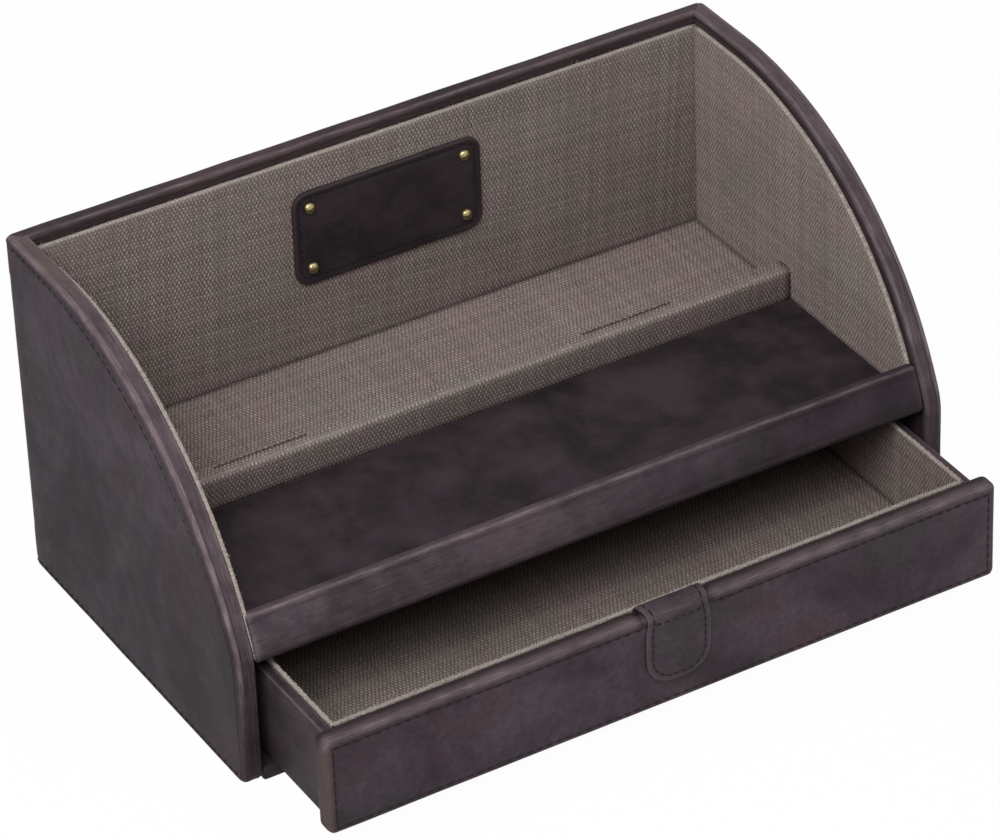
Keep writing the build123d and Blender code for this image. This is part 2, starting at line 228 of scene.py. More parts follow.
def canvas_material():
    """Coarse plain weave: light knots set like bricks, with dark holes between them."""
    n = material("canvas")
    place = n.object_mm()
    threads = n.scaled(n.uv(), (1 / WARP_PITCH, 1 / WEFT_PITCH, 0.0))
    moved = n.vector("ADD", threads, n.wander(threads, 0.11, 2.0, 1.5))
    moved = n.vector("ADD", moved, n.wander(threads, 0.7, 1.0, 0.35))
    across, along = n.add("SeparateXYZ", {0: moved}).outputs[:2]
    wave_u, wave_v = (n.math("SINE", n.times(way, math.pi)) for way in (across, along))
    crossing = n.times(wave_u, wave_v)
    height = n.total(
        n.times(n.remap(crossing, -1.0, -0.50), 0.48),
        n.times(n.remap(crossing, 0.0, 1.0), 0.15),
        n.times(n.math("POWER", n.math("ABSOLUTE", wave_v), 0.8), 0.24),
        n.times(n.math("ABSOLUTE", wave_u), 0.13),
    )
    over = n.remap(crossing, -0.20, 0.20)
    warp = n.times(n.thread_tone(across), over)
    weft = n.times(n.thread_tone(n.total(along, 711.0)), n.math("SUBTRACT", 1.0, over))
    slubs = n.noise(n.scaled(moved, (1.0, 0.16, 1.0)), 1.3, 2.0, 0.6)
    tone = n.remap(n.total(warp, weft), 0.0, 1.0, 0.78, 1.16)
    tone = n.total(tone, n.remap(slubs, 0.3, 0.7, -0.14, 0.2))
    tone = n.times(tone, n.remap(n.noise(place, 0.03, 3.0, 0.55), 0.3, 0.7, 0.92, 1.06))
    colour = n.mix(n.remap(height, 0.41, 0.94), (0.030, 0.023, 0.021), (0.360, 0.295, 0.275))
    colour = n.tinted(colour, n.add("CombineColor", {0: tone, 1: tone, 2: tone}).outputs[0])
    warm = n.noise(place, 0.05, 2.0, 0.6, 0.0, 31.0)
    warm = n.mix(n.remap(warm, 0.36, 0.64), (0.96, 1.00, 0.96), (1.05, 0.98, 1.01))
    colour = n.tinted(colour, warm)
    fluff = n.noise(place, 1.7, 2.0, 0.7, 0.0, 37.0)
    colour = n.cover(colour, fluff, 0.61, 0.72, 0.45, (0.52, 0.45, 0.41))
    # Painted light: the attribute read here brightens the canvas, on the right side lining and towards the
    # right of the trough.
    colour = n.mix(n.attribute("pale"), colour, n.tinted(colour, (1.70, 1.70, 1.71)))
    colour = n.mix(n.attribute("cut"), colour, (0.46, 0.40, 0.365))
    # The dark attribute here is painted shade: in corners, in the slots and over shaded faces.
    colour = n.mix(n.attribute("dark"), colour, (0.020, 0.015, 0.013))
    return n.shader(colour, 0.9, n.bump(height, 1.0, 0.0004), specular=0.12)


def yarn_material(name, colour, light):
    """Single yarns: the frayed canvas edges and the sewing thread."""
    n = material(name)
    place = n.object_mm()
    tint = n.mix(n.remap(n.noise(place, 2.2, 3.0, 0.6), 0.3, 0.7), colour, light)
    return n.shader(tint, 0.8, n.bump(n.noise(place, 5.0), 0.5, 0.0002), specular=0.2)


def brass_material():
    n = material("antique_brass")
    place = n.object_mm()
    tarnish = n.noise(place, 1.1, 4.0, 0.6)
    colour = n.mix(n.remap(tarnish, 0.42, 0.72), (0.44, 0.37, 0.18), (0.13, 0.105, 0.05))
    normal = n.bump(n.noise(place, 3.0, 3.0, 0.6), 0.12, 0.0002)
    return n.shader(colour, n.remap(tarnish, 0.3, 0.7, 0.22, 0.42), normal, metallic=1.0)


def board_material():
    n = material("board")
    fibres = n.noise(n.scaled(n.object_mm(), (0.5, 0.5, 3.0)), 1.0, 4.0, 0.65)
    colour = n.mix(n.remap(fibres, 0.3, 0.7), (0.25, 0.18, 0.12), (0.36, 0.27, 0.19))
    return n.shader(colour, 0.8, n.bump(fibres, 0.3, 0.0003))


LOOK = {
    "leather": leather_material(),
    "smooth_leather": smooth_leather_material(),
    "canvas": canvas_material(),
    "antique_brass": brass_material(),
    "board": board_material(),
    "thread": yarn_material("thread", (0.010, 0.007, 0.009), (0.024, 0.017, 0.021)),
}
YARN = yarn_material("yarn", (0.21, 0.178, 0.16), (0.47, 0.41, 0.37))


# ---- numbers along a shape ----
def lump(x, y, z, size, seed=0.0):
    """Smooth noise from about -1 to 1 that repeats its look every size millimetres."""
    return noise.noise(Vector((x / size + seed, y / size - seed, z / size + 2.0 * seed)))


def hump(value, centre, width):
    """A bell curve of height 1."""
    return math.exp(-(((value - centre) / width) ** 2))


def near(da, db, width):
    """A bell curve of the distance to a point, from the two ways to it."""
    return hump(math.hypot(da, db), 0.0, width)


def unit(value):
    return min(1.0, max(0.0, value))


def ramp(value, knots):
    """The value on a line of (place, value) knots with rising places, level beyond its ends."""
    for (p, v), (q, w) in zip(knots, knots[1:]):
        if value <= q:
            return v + (w - v) * max(0.0, (value - p) / (q - p))
    return knots[-1][1]


def steps(a, b, step, fine=()):
    """Values from a to b about one step apart, with closer ones at both ends."""
    span = b - a
    sign = 1.0 if span > 0 else -1.0
    count = max(1, round(abs(span) / step))
    values = [a + span * i / count for i in range(count + 1)]
    for f in fine:
        values += [a + sign * f, b - sign * f]
    return sorted(set(round(v, 5) for v in values), reverse=span < 0)


def spread(a, b, count, fine=()):
    """count even steps from a to b, with closer values next to a."""
    sign = 1.0 if b > a else -1.0
    values = [a + (b - a) * i / count for i in range(count + 1)]
    return values[:1] + [a + sign * f for f in fine] + values[1:]


def arc(cy, cz, radius, start, end, count):
    """Points on an arc, angles in degrees, both ends included."""
    turns = [math.radians(start + (end - start) * i / count) for i in range(count + 1)]
    return [(cy + radius * math.cos(turn), cz + radius * math.sin(turn)) for turn in turns]


def roll_in(radius, angles):
    """Profile points (depth, n) of a rounded first edge, from the face to the rim."""
    turns = [math.radians(angle) for angle in angles]
    return [(radius - radius * math.cos(turn), radius - radius * math.sin(turn)) for turn in turns]


def roll_out(depth, radius, angles):
    """Profile points (depth, n) of a rounded second edge, from the rim to the far face."""
    turns = [math.radians(angle) for angle in angles]
    return [(depth - radius + radius * math.sin(turn), radius - radius * math.cos(turn)) for turn in turns]


TENS, FIFTEENS, EIGHTEENS = range(0, 91, 10), range(0, 91, 15), range(0, 91, 18)


# ---- mesh tools ----
def wrapped(a, b, t, n):
    """Texture place on a sheet that is folded round its top or front edge."""
    return a, b + t


def flat(a, b, t, n):
    return a, b


def link(name, data):
    made = bpy.data.objects.new(name, data)
    bpy.context.scene.collection.objects.link(made)
    return made


def piece(bm, name, body, slot, shape, marks=None, replaces=(), look=None, uv=None):
    """Turns a drawing in (a, b, t) into a finished piece.

    shape(a, b, t, n) gives the place in millimetres, marks(a, b, t, n) the wear and other masks,
    and uv(a, b, t, n) the texture place, where n is how far a point is from the outline.
    """
    bm.verts.ensure_lookup_table()
    inset = bm.verts.layers.float.get("inset")
    drawn = [(v.co.x, v.co.y, v.co.z, v[inset] if inset else 0.0) for v in bm.verts]
    bm.verts.index_update()
    if uv is not None:
        layer = bm.loops.layers.uv.new("threads")
        for face in bm.faces:
            for loop in face.loops:
                loop[layer].uv = uv(*drawn[loop.vert.index])
    for vert, point in zip(bm.verts, drawn):
        vert.co = Vector(shape(*point)) * MM
    bmesh.ops.recalc_face_normals(bm, faces=bm.faces)
    mesh = bpy.data.meshes.new(name)
    bm.to_mesh(mesh)
    bm.free()
    if marks is not None:
        values = [marks(*point) for point in drawn]
        for key in sorted({k for row in values for k in row}):
            store = mesh.attributes.new(key, "FLOAT", "POINT")
            store.data.foreach_set("value", [unit(row.get(key, 0.0)) for row in values])
    return dress(mesh, name, body, slot, replaces, look)


def dress(mesh, name, body, slot, replaces=(), look=None):
    """Links a mesh as a piece that rides on a body and wears the look of its slot."""
    for polygon in mesh.polygons:
        polygon.use_smooth = True
    mesh.materials.clear()
    mesh.materials.append(look or LOOK[slot])
    made = link(name, mesh)
    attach(made, body)
    if replaces:
        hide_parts(*replaces)
    return made


def join(bm, rows, last):
    """Faces between each two rows of points, from one point to the next up to the last."""
    count = len(rows[0])
    for low, high in zip(rows, rows[1:]):
        for i in range(last):
            j = (i + 1) % count
            bm.faces.new((low[i], low[j], high[j], high[i]))


def panel(loop, profile, is_open=False, step=4.0):
    """A sheet: the outline loop(n), drawn in by n, swept over a profile of (depth, n) and capped.

    An open outline leaves its two ends on one straight edge, closed by an end face.
    """
    bm = bmesh.new()
    inset = bm.verts.layers.float.new("inset")
    flag = bm.faces.layers.int.new("cap")
    rows = []
    for depth, n in profile:
        rows.append([bm.verts.new((a, b, depth)) for a, b in loop(n)])
        for vert in rows[-1]:
            vert[inset] = n
    join(bm, rows, len(rows[0]) - 1 if is_open else len(rows[0]))
    ends = [bm.faces.new(rows[0]), bm.faces.new(rows[-1])]
    if is_open:
        bm.faces.new([r[0] for r in rows] + [r[-1] for r in reversed(rows)])
    for face in ends:
        face[flag] = 1
    bmesh.ops.remove_doubles(bm, verts=bm.verts, dist=1e-4)
    edge = loop(profile[0][1])
    for axis in (0, 1):
        low, high = min(p[axis] for p in edge), max(p[axis] for p in edge)
        for value in steps(low, high, step)[1:-1]:
            grid = [f for f in bm.faces if f[flag]]
            parts = {g for f in grid for g in (*f.edges, *f.verts)}
            bmesh.ops.bisect_plane(
                bm, geom=[*grid, *parts], dist=1e-5,
                plane_co=[value if k == axis else 0.0 for k in range(3)],
                plane_no=[1.0 if k == axis else 0.0 for k in range(3)],
            )
    return bm


def bar(section, stations):
    """A closed section of (b, t) points, or a function of a that gives it, run along a."""
    bm = bmesh.new()
    rows = []
    for a in stations:
        points = section(a) if callable(section) else section
        rows.append([bm.verts.new((a, b, t)) for b, t in points])
    join(bm, rows, len(rows[0]))
    bm.faces.new(rows[0])
    bm.faces.new(rows[-1])
    return bm


def rounded_section(b0, b1, t0, t1, radii, counts, turns=5):
    """A rectangle in (b, t) with the corner radii (b0 t0, b1 t0, b1 t1, b0 t1).

    counts are the steps along its sides in b and in t.
    """
    corners = [
        (b0 + radii[0], t0 + radii[0], radii[0], 180), (b1 - radii[1], t0 + radii[1], radii[1], 270),
        (b1 - radii[2], t1 - radii[2], radii[2], 0), (b0 + radii[3], t1 - radii[3], radii[3], 90),
    ]
    points = []
    for i, (cb, ct, radius, start) in enumerate(corners):
        turn = arc(cb, ct, radius, start, start + 90, turns)
        points += turn
        b, t = turn[-1]
        nb, nt, nr, ns = corners[(i + 1) % 4]
        to_b, to_t = arc(nb, nt, nr, ns, ns + 90, 1)[0]
        shares = [k / counts[i % 2] for k in range(1, counts[i % 2])]
        points += [(b + (to_b - b) * share, t + (to_t - t) * share) for share in shares]
    return points


def rectangle(x0, x1, y0, y1, radius, step, turns=4):
    """The outline loop(n) of a rounded rectangle, with points about one step apart."""
    counts = (max(1, round((x1 - x0) / step)), max(1, round((y1 - y0) / step)))

    def loop(n):
        rounding = (max(0.0, radius - n),) * 4
        return rounded_section(x0 + n, x1 - n, y0 + n, y1 - n, rounding, counts, turns)

    return loop


def slab(name, body, slot, low, high, radius=0.5, step=4.0, ripple=0.06, **more):
    """A soft-edged board between two corners, with its outline in x and y."""
    loop = rectangle(low[0], high[0], low[1], high[1], radius, step)
    depth = high[2] - low[2]
    turn = roll_in(radius, (0, 22, 45, 68, 90))
    profile = [*turn, *[(depth - t, n) for t, n in reversed(turn)]]
    inner = min(radius + 1.5, 0.45 * min(high[0] - low[0], high[1] - low[1]))
    bm = panel(loop, [(0.0, inner), *profile, (depth, inner)], step=step)

    def shape(a, b, t, n):
        return a, b, low[2] + t + ripple * lump(a, b, t, 17.0, 3.1)

    return piece(bm, name, body, slot, shape, **more)


def bands(rings, sides):
    """Faces between each two of a number of rings, whose points are listed ring by ring."""
    return [
        (i * sides + k, i * sides + (k + 1) % sides, (i + 1) * sides + (k + 1) % sides, (i + 1) * sides + k)
        for i in range(rings - 1) for k in range(sides)
    ]


def tube(points, radius, sides=6, ends=0.35):
    """Vertices and faces of a closed tube along points, all in millimetres."""
    verts = []
    count = len(points)
    for i, point in enumerate(points):
        ahead = (points[min(i + 1, count - 1)] - points[max(i - 1, 0)]).normalized()
        side = ahead.orthogonal() if i == 0 else side - ahead * side.dot(ahead)
        side.normalize()
        up = ahead.cross(side)
        r = radius * (ends if i in (0, count - 1) else 1.0)
        for k in range(sides):
            turn = 2 * math.pi * k / sides
            verts.append(point + (side * math.cos(turn) + up * math.sin(turn)) * r)
    faces = bands(count, sides)
    faces += [tuple(range(sides)), tuple(range((count - 1) * sides, count * sides))]
    return verts, faces


def cluster(name, parts, body, slot, look=None):
    """One piece from many small closed shapes, each a (vertices, faces) pair in millimetres."""
    verts, faces = [], []
    for part_verts, part_faces in parts:
        base = len(verts)
        verts += [v * MM for v in part_verts]
        faces += [tuple(base + i for i in f) for f in part_faces]
    mesh = bpy.data.meshes.new(name)
    mesh.from_pydata(verts, [], faces)
    bm = bmesh.new()
    bm.from_mesh(mesh)
    bmesh.ops.recalc_face_normals(bm, faces=bm.faces)
    bm.to_mesh(mesh)
    bm.free()
    return dress(mesh, name, body, slot, look=look)


def walk(points, closed=False):
    """Lengths along a polyline and a function from length to a point on it."""
    line = [Vector(p) for p in points]
    if closed:
        line.append(line[0])
    marks = [0.0]
    for p, q in zip(line, line[1:]):
        marks.append(marks[-1] + (q - p).length)

    def at(length):
        length = min(max(length, 0.0), marks[-1])
        i = next((k for k in range(1, len(marks)) if marks[k] >= length), len(marks) - 1)
        span = marks[i] - marks[i - 1]
        return line[i - 1].lerp(line[i], (length - marks[i - 1]) / span if span > 1e-9 else 0.0)

    return marks[-1], at


# How a stitch dips into the leather at its ends: (place along it, height)
STITCH_LINE = (
    (-1.0, -0.5), (-0.86, -0.08), (-0.5, 0.12), (0.0, 0.2), (0.5, 0.12), (0.86, -0.08), (1.0, -0.5),
)


def stitches(route, place, closed=False, pitch=STITCH_PITCH, length=2.35, radius=0.25, seed=1):
    """Stitches along a route of (a, b); place(a, b, t) puts a point on the leather, t outwards."""
    draw = random.Random(seed)
    total, at = walk([(a, b, 0.0) for a, b in route], closed)
    count = max(1, round(total / pitch))
    parts = []
    for i in range(count):
        middle = (i + 0.5) * total / count + draw.uniform(-0.12, 0.12)
        half = length / 2 * draw.uniform(0.92, 1.06)
        spots = [(at(middle + share * half), lift) for share, lift in STITCH_LINE]
        line = [Vector(place(spot.x, spot.y, lift)) for spot, lift in spots]
        parts.append(tube(line, radius * draw.uniform(0.92, 1.08)))
    return parts


def bead(centre, axes, turns=6, rings=4):
    """A small closed egg shape with the three given half axes."""
    verts, faces = [centre - axes[2]], []
    for i in range(1, rings):
        lift = math.pi * i / rings - math.pi / 2
        for k in range(turns):
            turn = 2 * math.pi * k / turns
            level = axes[0] * math.cos(turn) + axes[1] * math.sin(turn)
            verts.append(centre + axes[2] * math.sin(lift) + level * math.cos(lift))
    verts.append(centre + axes[2])
    top = len(verts) - 1
    for k in range(turns):
        j = (k + 1) % turns
        faces.append((0, 1 + j, 1 + k))
        for i in range(rings - 2):
            a, b = 1 + i * turns, 1 + (i + 1) * turns
            faces.append((a + k, a + j, b + j, b + k))
        faces.append((top, 1 + (rings - 2) * turns + k, 1 + (rings - 2) * turns + j))
    return verts, faces


def frayed_edge(route, across, up, seed, thick=0.75, rise=0.45, pitch=0.95, hairs=0.28, closed=False,
                gaps=0.0):
    """Cut yarn ends along an edge, like a fine rope, with gaps and a few loose hairs.

    across is the direction of the canvas's thickness and up the one that leaves the edge, each as
    a vector or as a function of the place.
    """
    draw = random.Random(seed)
    vary = draw.uniform
    total, at = walk(route, closed)
    count = int(total / pitch)
    parts = []
    for i in range(count):
        s = (i + 0.5) * total / count
        ahead = (at(s + 0.3) - at(s - 0.3)).normalized()
        a, u = (axis(at(s)) if callable(axis) else axis for axis in (across, up))
        centre = at(s) + a * vary(-0.12, 0.12) + u * vary(-0.12, 0.1)
        lean = 0.55 + vary(-0.2, 0.2)
        long_axis = (a * math.cos(lean) + ahead * math.sin(lean)) * thick * vary(0.85, 1.15)
        cross = (ahead * math.cos(lean) - a * math.sin(lean)) * 0.50 * vary(0.85, 1.15)
        yarn = bead(centre, (cross, u * rise * vary(0.8, 1.2), long_axis))
        if draw.random() >= gaps:
            parts.append(yarn)
        if draw.random() < hairs:
            reach = vary(0.5, 1.5)
            way = u * vary(0.2, 1.0) + a * vary(-0.9, 0.9) + ahead * vary(-1.0, 1.0)
            way.normalize()
            curl = Vector([vary(-0.5, 0.5) for _ in range(3)])
            line = [centre + way * reach * k / 4 + curl * (k / 4) ** 2 * reach * 0.5 for k in range(5)]
            parts.append(tube(line, 0.07, sides=3))
    return parts


# ---- side panels ----
FOOT_ROW = 2.8      # how far in the stitch row runs along the foot
RIM_ROW = ((-74.5, 4.6), (-45.0, 5.2), (-10.0, 5.7), (9.0, 5.0), (25.0, 4.4), (43.5, 3.2), (74.5, 2.7))
EDGE_ROWS = (14.0, 9.0, 6.4, 5.2, 4.7, 4.35, 4.0, 3.65, 3.3)      # points from a face to its stitch row


def drawn_in(n, row):
    """Moves the lines near the stitch row so that the row itself runs row millimetres in."""
    return n + (row - STITCH_INSET) * ramp(n, ((1.4, 0.0), (3.3, 1.0), (4.7, 1.0), (14.0, 0.0)))


def rim_arc(cy, cz, radius, start, end, count, n):
    """An arc of the rim, drawn in by n and further where the stitch row lies deeper."""
    points = []
    for y, z in arc(cy, cz, radius, start, end, count):
        share = 1.0 - drawn_in(n, ramp(y, RIM_ROW)) / radius
        points.append((cy + (y - cy) * share, cz + (z - cz) * share))
    return points


def side_loop(n):
    """Outline of a side panel in (y, z), drawn in by n, from the rear foot to the rear top."""
    foot = max(FOOT_R, n)
    low = drawn_in(n, FOOT_ROW)
    knee = math.degrees(KNEE_TURN)
    points = [(y, low) for y in spread(BACK_Y, FRONT_Y + foot, 38, (0.5, 1.2))[:-1]]
    turn = arc(FRONT_Y + foot, foot, foot - n, 270, 180, 6)
    points += [(y, z + (low - n) * (1.0 - i / 6)) for i, (y, z) in enumerate(turn)]
    front_row = ((FOOT_R, STITCH_INSET), (KNEE_Z, RIM_ROW[0][1]))
    points += [
        (FRONT_Y + drawn_in(n, ramp(z, front_row)), z) for z in spread(foot, KNEE_Z, 15)[1:-1]
    ]
    points += rim_arc(KNEE_Y, KNEE_Z, KNEE_R, 180, knee, 5, n)[:-1]
    points += rim_arc(ARC_Y, ARC_Z, ARC_R, knee, 90, 74, n)
    rear = spread(BACK_Y, ARC_Y, 12, (0.5, 1.2))[-2::-1]
    return points + [(y, HEIGHT - drawn_in(n, ramp(y, RIM_ROW))) for y in rear]


# Across a side panel: outer face, rolled outer edge, rim, inner edge, inner face
SIDE_PROFILE = [
    *[(0.0, n) for n in (*EDGE_ROWS, 2.7)], *roll_in(2.0, TENS),
    (2.25, 0.01), (2.5, 0.02), (2.75, 0.03), (3.1, 0.06), (3.6, 0.10), (4.2, 0.08), (4.7, 0.04), (5.1, 0.01),
    *roll_out(PANEL, 1.5, FIFTEENS), *[(PANEL, n) for n in (2.2, 3.2, 4.6, 8.0, 12.0)],
]


def lower_rim(z):
    """1 on the lower part of the rim, where a fine crease runs beside the outer edge."""
    return unit((112.0 - z) / 30.0) * unit((z - 34.0) / 16.0)


def row_shows(y, z):
    """1 where the stitch row of a side panel is plain to see, 0 where it has sunk away."""
    if z < 6.0:
        return 1.0
    return ramp(y, ((-62.0, 0.0), (-18.0, 1.0))) if z > 40.0 else 0.0


def round_rear(x, y, z, radius=3.2):
    """Rounds the two upright rear corners of the carcass."""
    cx, cy = END_X - radius, BACK_Y - radius
    dx, dy = abs(x) - cx, y - cy
    if dx > 0 and dy > 0:
        far = math.hypot(dx, dy)
        limit = max(dx, dy)
        if far > 1e-6:
            x = math.copysign(cx + dx * limit / far, x)
            y = cy + dy * limit / far
    return x, y, z


def side_place(sign):
    """Where a point of the side panel's drawing goes: sign -1 is the left panel."""
    def place(a, b, t, n=0.0):
        y, z = a, b
        if y > ARC_Y:
            y = ARC_Y + (y - ARC_Y) * (BACK_Y - t - ARC_Y) / (BACK_Y - ARC_Y)
        rim = max(0.0, 1.0 - n / 1.6)
        groove = 0.16 * hump(n, STITCH_INSET, 0.42) - 0.12 * hump(n, 2.5, 0.9)
        x = t + (t < 0.5) * row_shows(a, b) * groove
        waves = 0.14 * lump(y, z, sign * 40.0, 26.0, 1.3) + 0.04 * lump(y, z, sign * 9.0, 7.0)
        x += waves * (1.0 if t < 3.5 else 0.3)
        edge = rim * (0.22 * lump(y, z, t * 0.5 + sign * 30.0, 13.0, 2.2) - 0.08)
        edge += rim * lower_rim(b) * (0.30 * hump(t, 2.35, 0.32) - 0.24 * hump(t, 1.4, 0.5))
        away_y, away_z = ARC_Y - y, ARC_Z - z
        reach = math.hypot(away_y, away_z) or 1.0
        y += edge * away_y / reach
        z += edge * away_z / reach
        z -= 0.3 * hump(BACK_Y - t, y, 0.55) * rim
        return round_rear(sign * (END_X - x), y, z)

    return place


def side_marks(sign):
    def marks(a, b, t, n):
        face = float(t < 0.5)
        rim = float(n < 1.2 and t > 0.6)
        crease = rim * lower_rim(b)
        band = float(t > PANEL - 0.3 and n > 1.0)
        foot = float(b < 20.0)
        outer = near(t - 0.6, n - 0.6, 0.8) + 0.8 * hump(t, 1.7, 0.4) * (n < 0.3)
        inner = near(t - 6.2, n - 0.25, 0.55)
        line = hump(t, 1.5, 0.34) * crease * (0.75 + 0.5 * lump(a, b, sign * 5.0, 23.0, 0.2))
        # groove darkens the fine crease on the lower rim: painted shade.
        groove = hump(t, 2.35, 0.26) * crease * (0.7 + 0.4 * lump(a, b, sign * 7.0, 19.0, 0.7))
        sewn = hump(n, STITCH_INSET, 0.30) * row_shows(a, b) * face
        rear = unit((a - 5.0) / 45.0)
        rusty = max(0.0, 0.5 + 0.9 * lump(a, b, t * 0.6 + sign * 3.0, 19.0, 5.0))
        shade = unit((58.0 - b) / 40.0) * (a < FRONT_Y + 12.0)
        worn = (0.44 - 0.30 * foot) * outer + 0.42 * inner + 0.30 * rim * (1.0 - foot)
        # Painted shade: the outer faces are darkened towards the bottom, from 118 mm down to 58 mm.
        return {
            "wear": worn * (1.0 - 0.6 * shade) + 0.45 * line + 0.30 * hump(a, BACK_Y, 0.7) * rim,
            "brown": rim * rusty * (0.12 + (1.2 if sign < 0 else 0.35) * rear) + 0.3 * band,
            "dark": 0.6 * groove + 0.5 * sewn + 0.30 * band + 0.55 * shade * rim
            + 0.36 * unit((118.0 - b) / 60.0) * face,
            "fold": float(n < 2.4),
        }
    return marks


def path_uv(a, b, t, n):
    """Texture place for the rolled edges: once along the curve, once across it."""
    return math.atan2(b - ARC_Z, ARC_Y - a) * ARC_R, t + n * 0.6


for sign, side in ((-1, "left"), (1, "right")):
    place = side_place(sign)
    piece(
        panel(side_loop, SIDE_PROFILE, is_open=True), f"side_skin_{side}", "carcass", "leather",
        place, side_marks(sign),
        (f"side_leather_{side}", f"side_binding_{side}", f"side_inner_leather_{side}"), uv=path_uv,
    )
    row = [p for p in side_loop(STITCH_INSET) if p[0] < BACK_Y - 3.2]
    foot_row = [p for p in row if p[1] < 3.6]
    rim_row = [p for p in row if p[1] > 40.0 and p[0] > -58.0]
    sewn = stitches(foot_row, lambda a, b, t: place(a, b, -t, STITCH_INSET), seed=11 + sign)
    sewn += stitches(
        rim_row,
        lambda a, b, t: place(a, b, 0.42 * (1.0 - row_shows(a, b)) - t, STITCH_INSET),
        seed=15 + sign, length=2.4, radius=0.29,
    )
    cluster(f"side_stitches_{side}", sewn, "carcass", "thread")


# ---- back panel ----
def back_place(a, b, t, n=0.0):
    """a runs along x, b is the height, t the depth from the rear face."""
    x = a * (END_X - t) / END_X
    y, z = BACK_Y - t, b
    y += 0.16 * lump(x, 50.0, z, 26.0, 4.0) * (1.0 if t < 3.5 else 0.25)
    if t < 0.6:
        y -= 0.2 * hump(z, HEIGHT - STITCH_INSET, 0.45)
    top = max(0.0, 1.0 - (HEIGHT - z) / 1.8)
    z += top * (0.16 * lump(x, t, 0.0, 16.0, 1.9) - 0.06)
    z -= top * 0.3 * hump(END_X - t, abs(x), 0.55)
    return round_rear(x, y, z)


def back_marks(a, b, t, n):
    drop = HEIGHT - b
    outer = near(t - 0.6, drop - 0.6, 1.0)
    inner = near(t - 5.7 - 0.35 * lump(a, 0.0, 0.0, 14.0, 6.0), drop - 0.1, 0.6)
    rim = float(drop < 1.2 and t > 0.6)
    band = float(t > PANEL - 0.3 and drop > 0.9)
    return {
        "wear": 0.15 * outer + (0.6 + 0.5 * lump(a, 0.0, 3.0, 9.0, 1.0)) * inner
        + 0.22 * hump(abs(a), END_X, 0.7) * rim,
        "dark": 0.4 * band + 0.45 * hump(drop, STITCH_INSET, 0.34) * (t < 0.5),
        "brown": 0.45 * rim * max(0.0, lump(a, b, t, 24.0, 2.0) + 0.3) + 0.35 * band,
        "fold": float(drop < 2.4),
    }


back_section = rounded_section(0.0, HEIGHT, 0.0, PANEL, (1.4, 2.2, 1.3, 0.4), (36, 3), 6)
piece(
    bar(back_section, steps(-END_X, END_X, 3.0, (0.5, 1.1, 1.9))), "back_skin", "carcass", "leather",
    back_place, back_marks, ("back_leather", "back_binding", "back_inner_leather"), uv=wrapped,
)
back_row = [(x, HEIGHT - STITCH_INSET) for x in steps(-END_X + 5, END_X - 5, 9.0)]
sewn = stitches(back_row, lambda a, b, t: back_place(a, b, -t), seed=21)
cluster("back_stitches", sewn, "carcass", "thread")

# ---- base ----
slab(
    "base_skin", "carcass", "leather", (-INNER_X, FRONT_Y + 0.2, 0.0), (INNER_X, BACK_INNER_Y, BASE),
    radius=1.2, step=6.0, replaces=("base_leather",), uv=wrapped,
    # Painted shade: the base is darkened all over, standing in for the shadow beneath the drawer.
    marks=lambda a, b, t, n: {
        "wear": 0.1 * hump(n, 0.5, 0.6), "dark": 0.7, "fold": 0.4 * hump(n, 0.5, 1.0),
    },
)


# ---- front rail ----
def front_curve(z, n):
    """y of the carcass's curved front at height z, drawn in by n."""
    if z < KNEE_Z:
        return FRONT_Y + n
    if z < ARC_Z + (ARC_R - n) * math.sin(KNEE_TURN):
        return KNEE_Y - math.sqrt(max(0.0, (KNEE_R - n) ** 2 - (z - KNEE_Z) ** 2))
    return ARC_Y - math.sqrt((ARC_R - n) ** 2 - (z - ARC_Z) ** 2)


RAIL_GAP = 0.35
RAIL_END_R = 1.3


def rail_section(a):
    """Section of the rail in (height, depth), smaller just before each end."""
    left = min(INNER_X - RAIL_GAP - abs(a), RAIL_END_R)
    draw_in = RAIL_END_R - math.sqrt(max(0.0, RAIL_END_R**2 - (RAIL_END_R - left) ** 2))
    return rounded_section(
        RAIL_Z0 + draw_in, RAIL_Z1 - draw_in, draw_in, RAIL - draw_in,
        tuple(max(0.15, r - draw_in) for r in (2.2, 1.3, 1.5, 0.4)), (10, 2), 6,
    )


def rail_place(a, b, t, n=0.0):
    front = float(t < 2.0)
    z = b + 0.22 * lump(a, 0.0, t, 21.0, 6.1) * max(0.0, (b - 55.0) / 7.0)
    depth = t + 0.14 * lump(a, b, 0.0, 15.0, 7.7) * (1.0 if front else 0.2)
    depth += 0.10 * hump(INNER_X - abs(a), 4.2, 0.5) * front
    depth += 0.18 * hump(b, RAIL_Z0 + 3.2, 0.7) * front * (b < RAIL_Z0 + 4.0)
    return a, front_curve(b, 0.0) + depth * 0.985, z


def rail_marks(a, b, t, n):
    front_top = near(t - 0.55, RAIL_Z1 - b - 0.3, 0.5)
    end = hump(INNER_X - abs(a), 1.3, 0.6) * (t < 2)
    far = ramp(a, ((-20.0, 0.0), (128.0, 1.0)))
    # Painted light and shade: the front face is lighter towards the left end and darker towards the right
    # end, and the lower edge, which turns under, is painted dark.
    return {
        "wear": 0.46 * front_top + 0.24 * end + 0.17 * (1.0 - far) * (b > RAIL_Z0 + 3.0 and t < 3.0),
        "brown": 0.35 * hump(b, RAIL_Z0 + 1.0, 1.5) * (t < 2.5),
        "dark": 0.5 * hump(b, RAIL_Z0, 3.0) * (t < 2.5) + 0.42 * far * (1.0 - front_top),
        "fold": 0.7 if RAIL_Z1 - b < 2.0 or b - RAIL_Z0 < 3 else 0.1,
    }


rail_end = INNER_X - RAIL_GAP
rail_stations = steps(-rail_end, rail_end, 3.0, (0.1, 0.3, 0.6, 0.95, 1.4, 3.6, 4.2, 4.8))
piece(
    bar(rail_section, rail_stations), "rail_skin", "carcass", "leather",
    rail_place, rail_marks, ("rail_leather", "rail_board"), uv=wrapped,
)

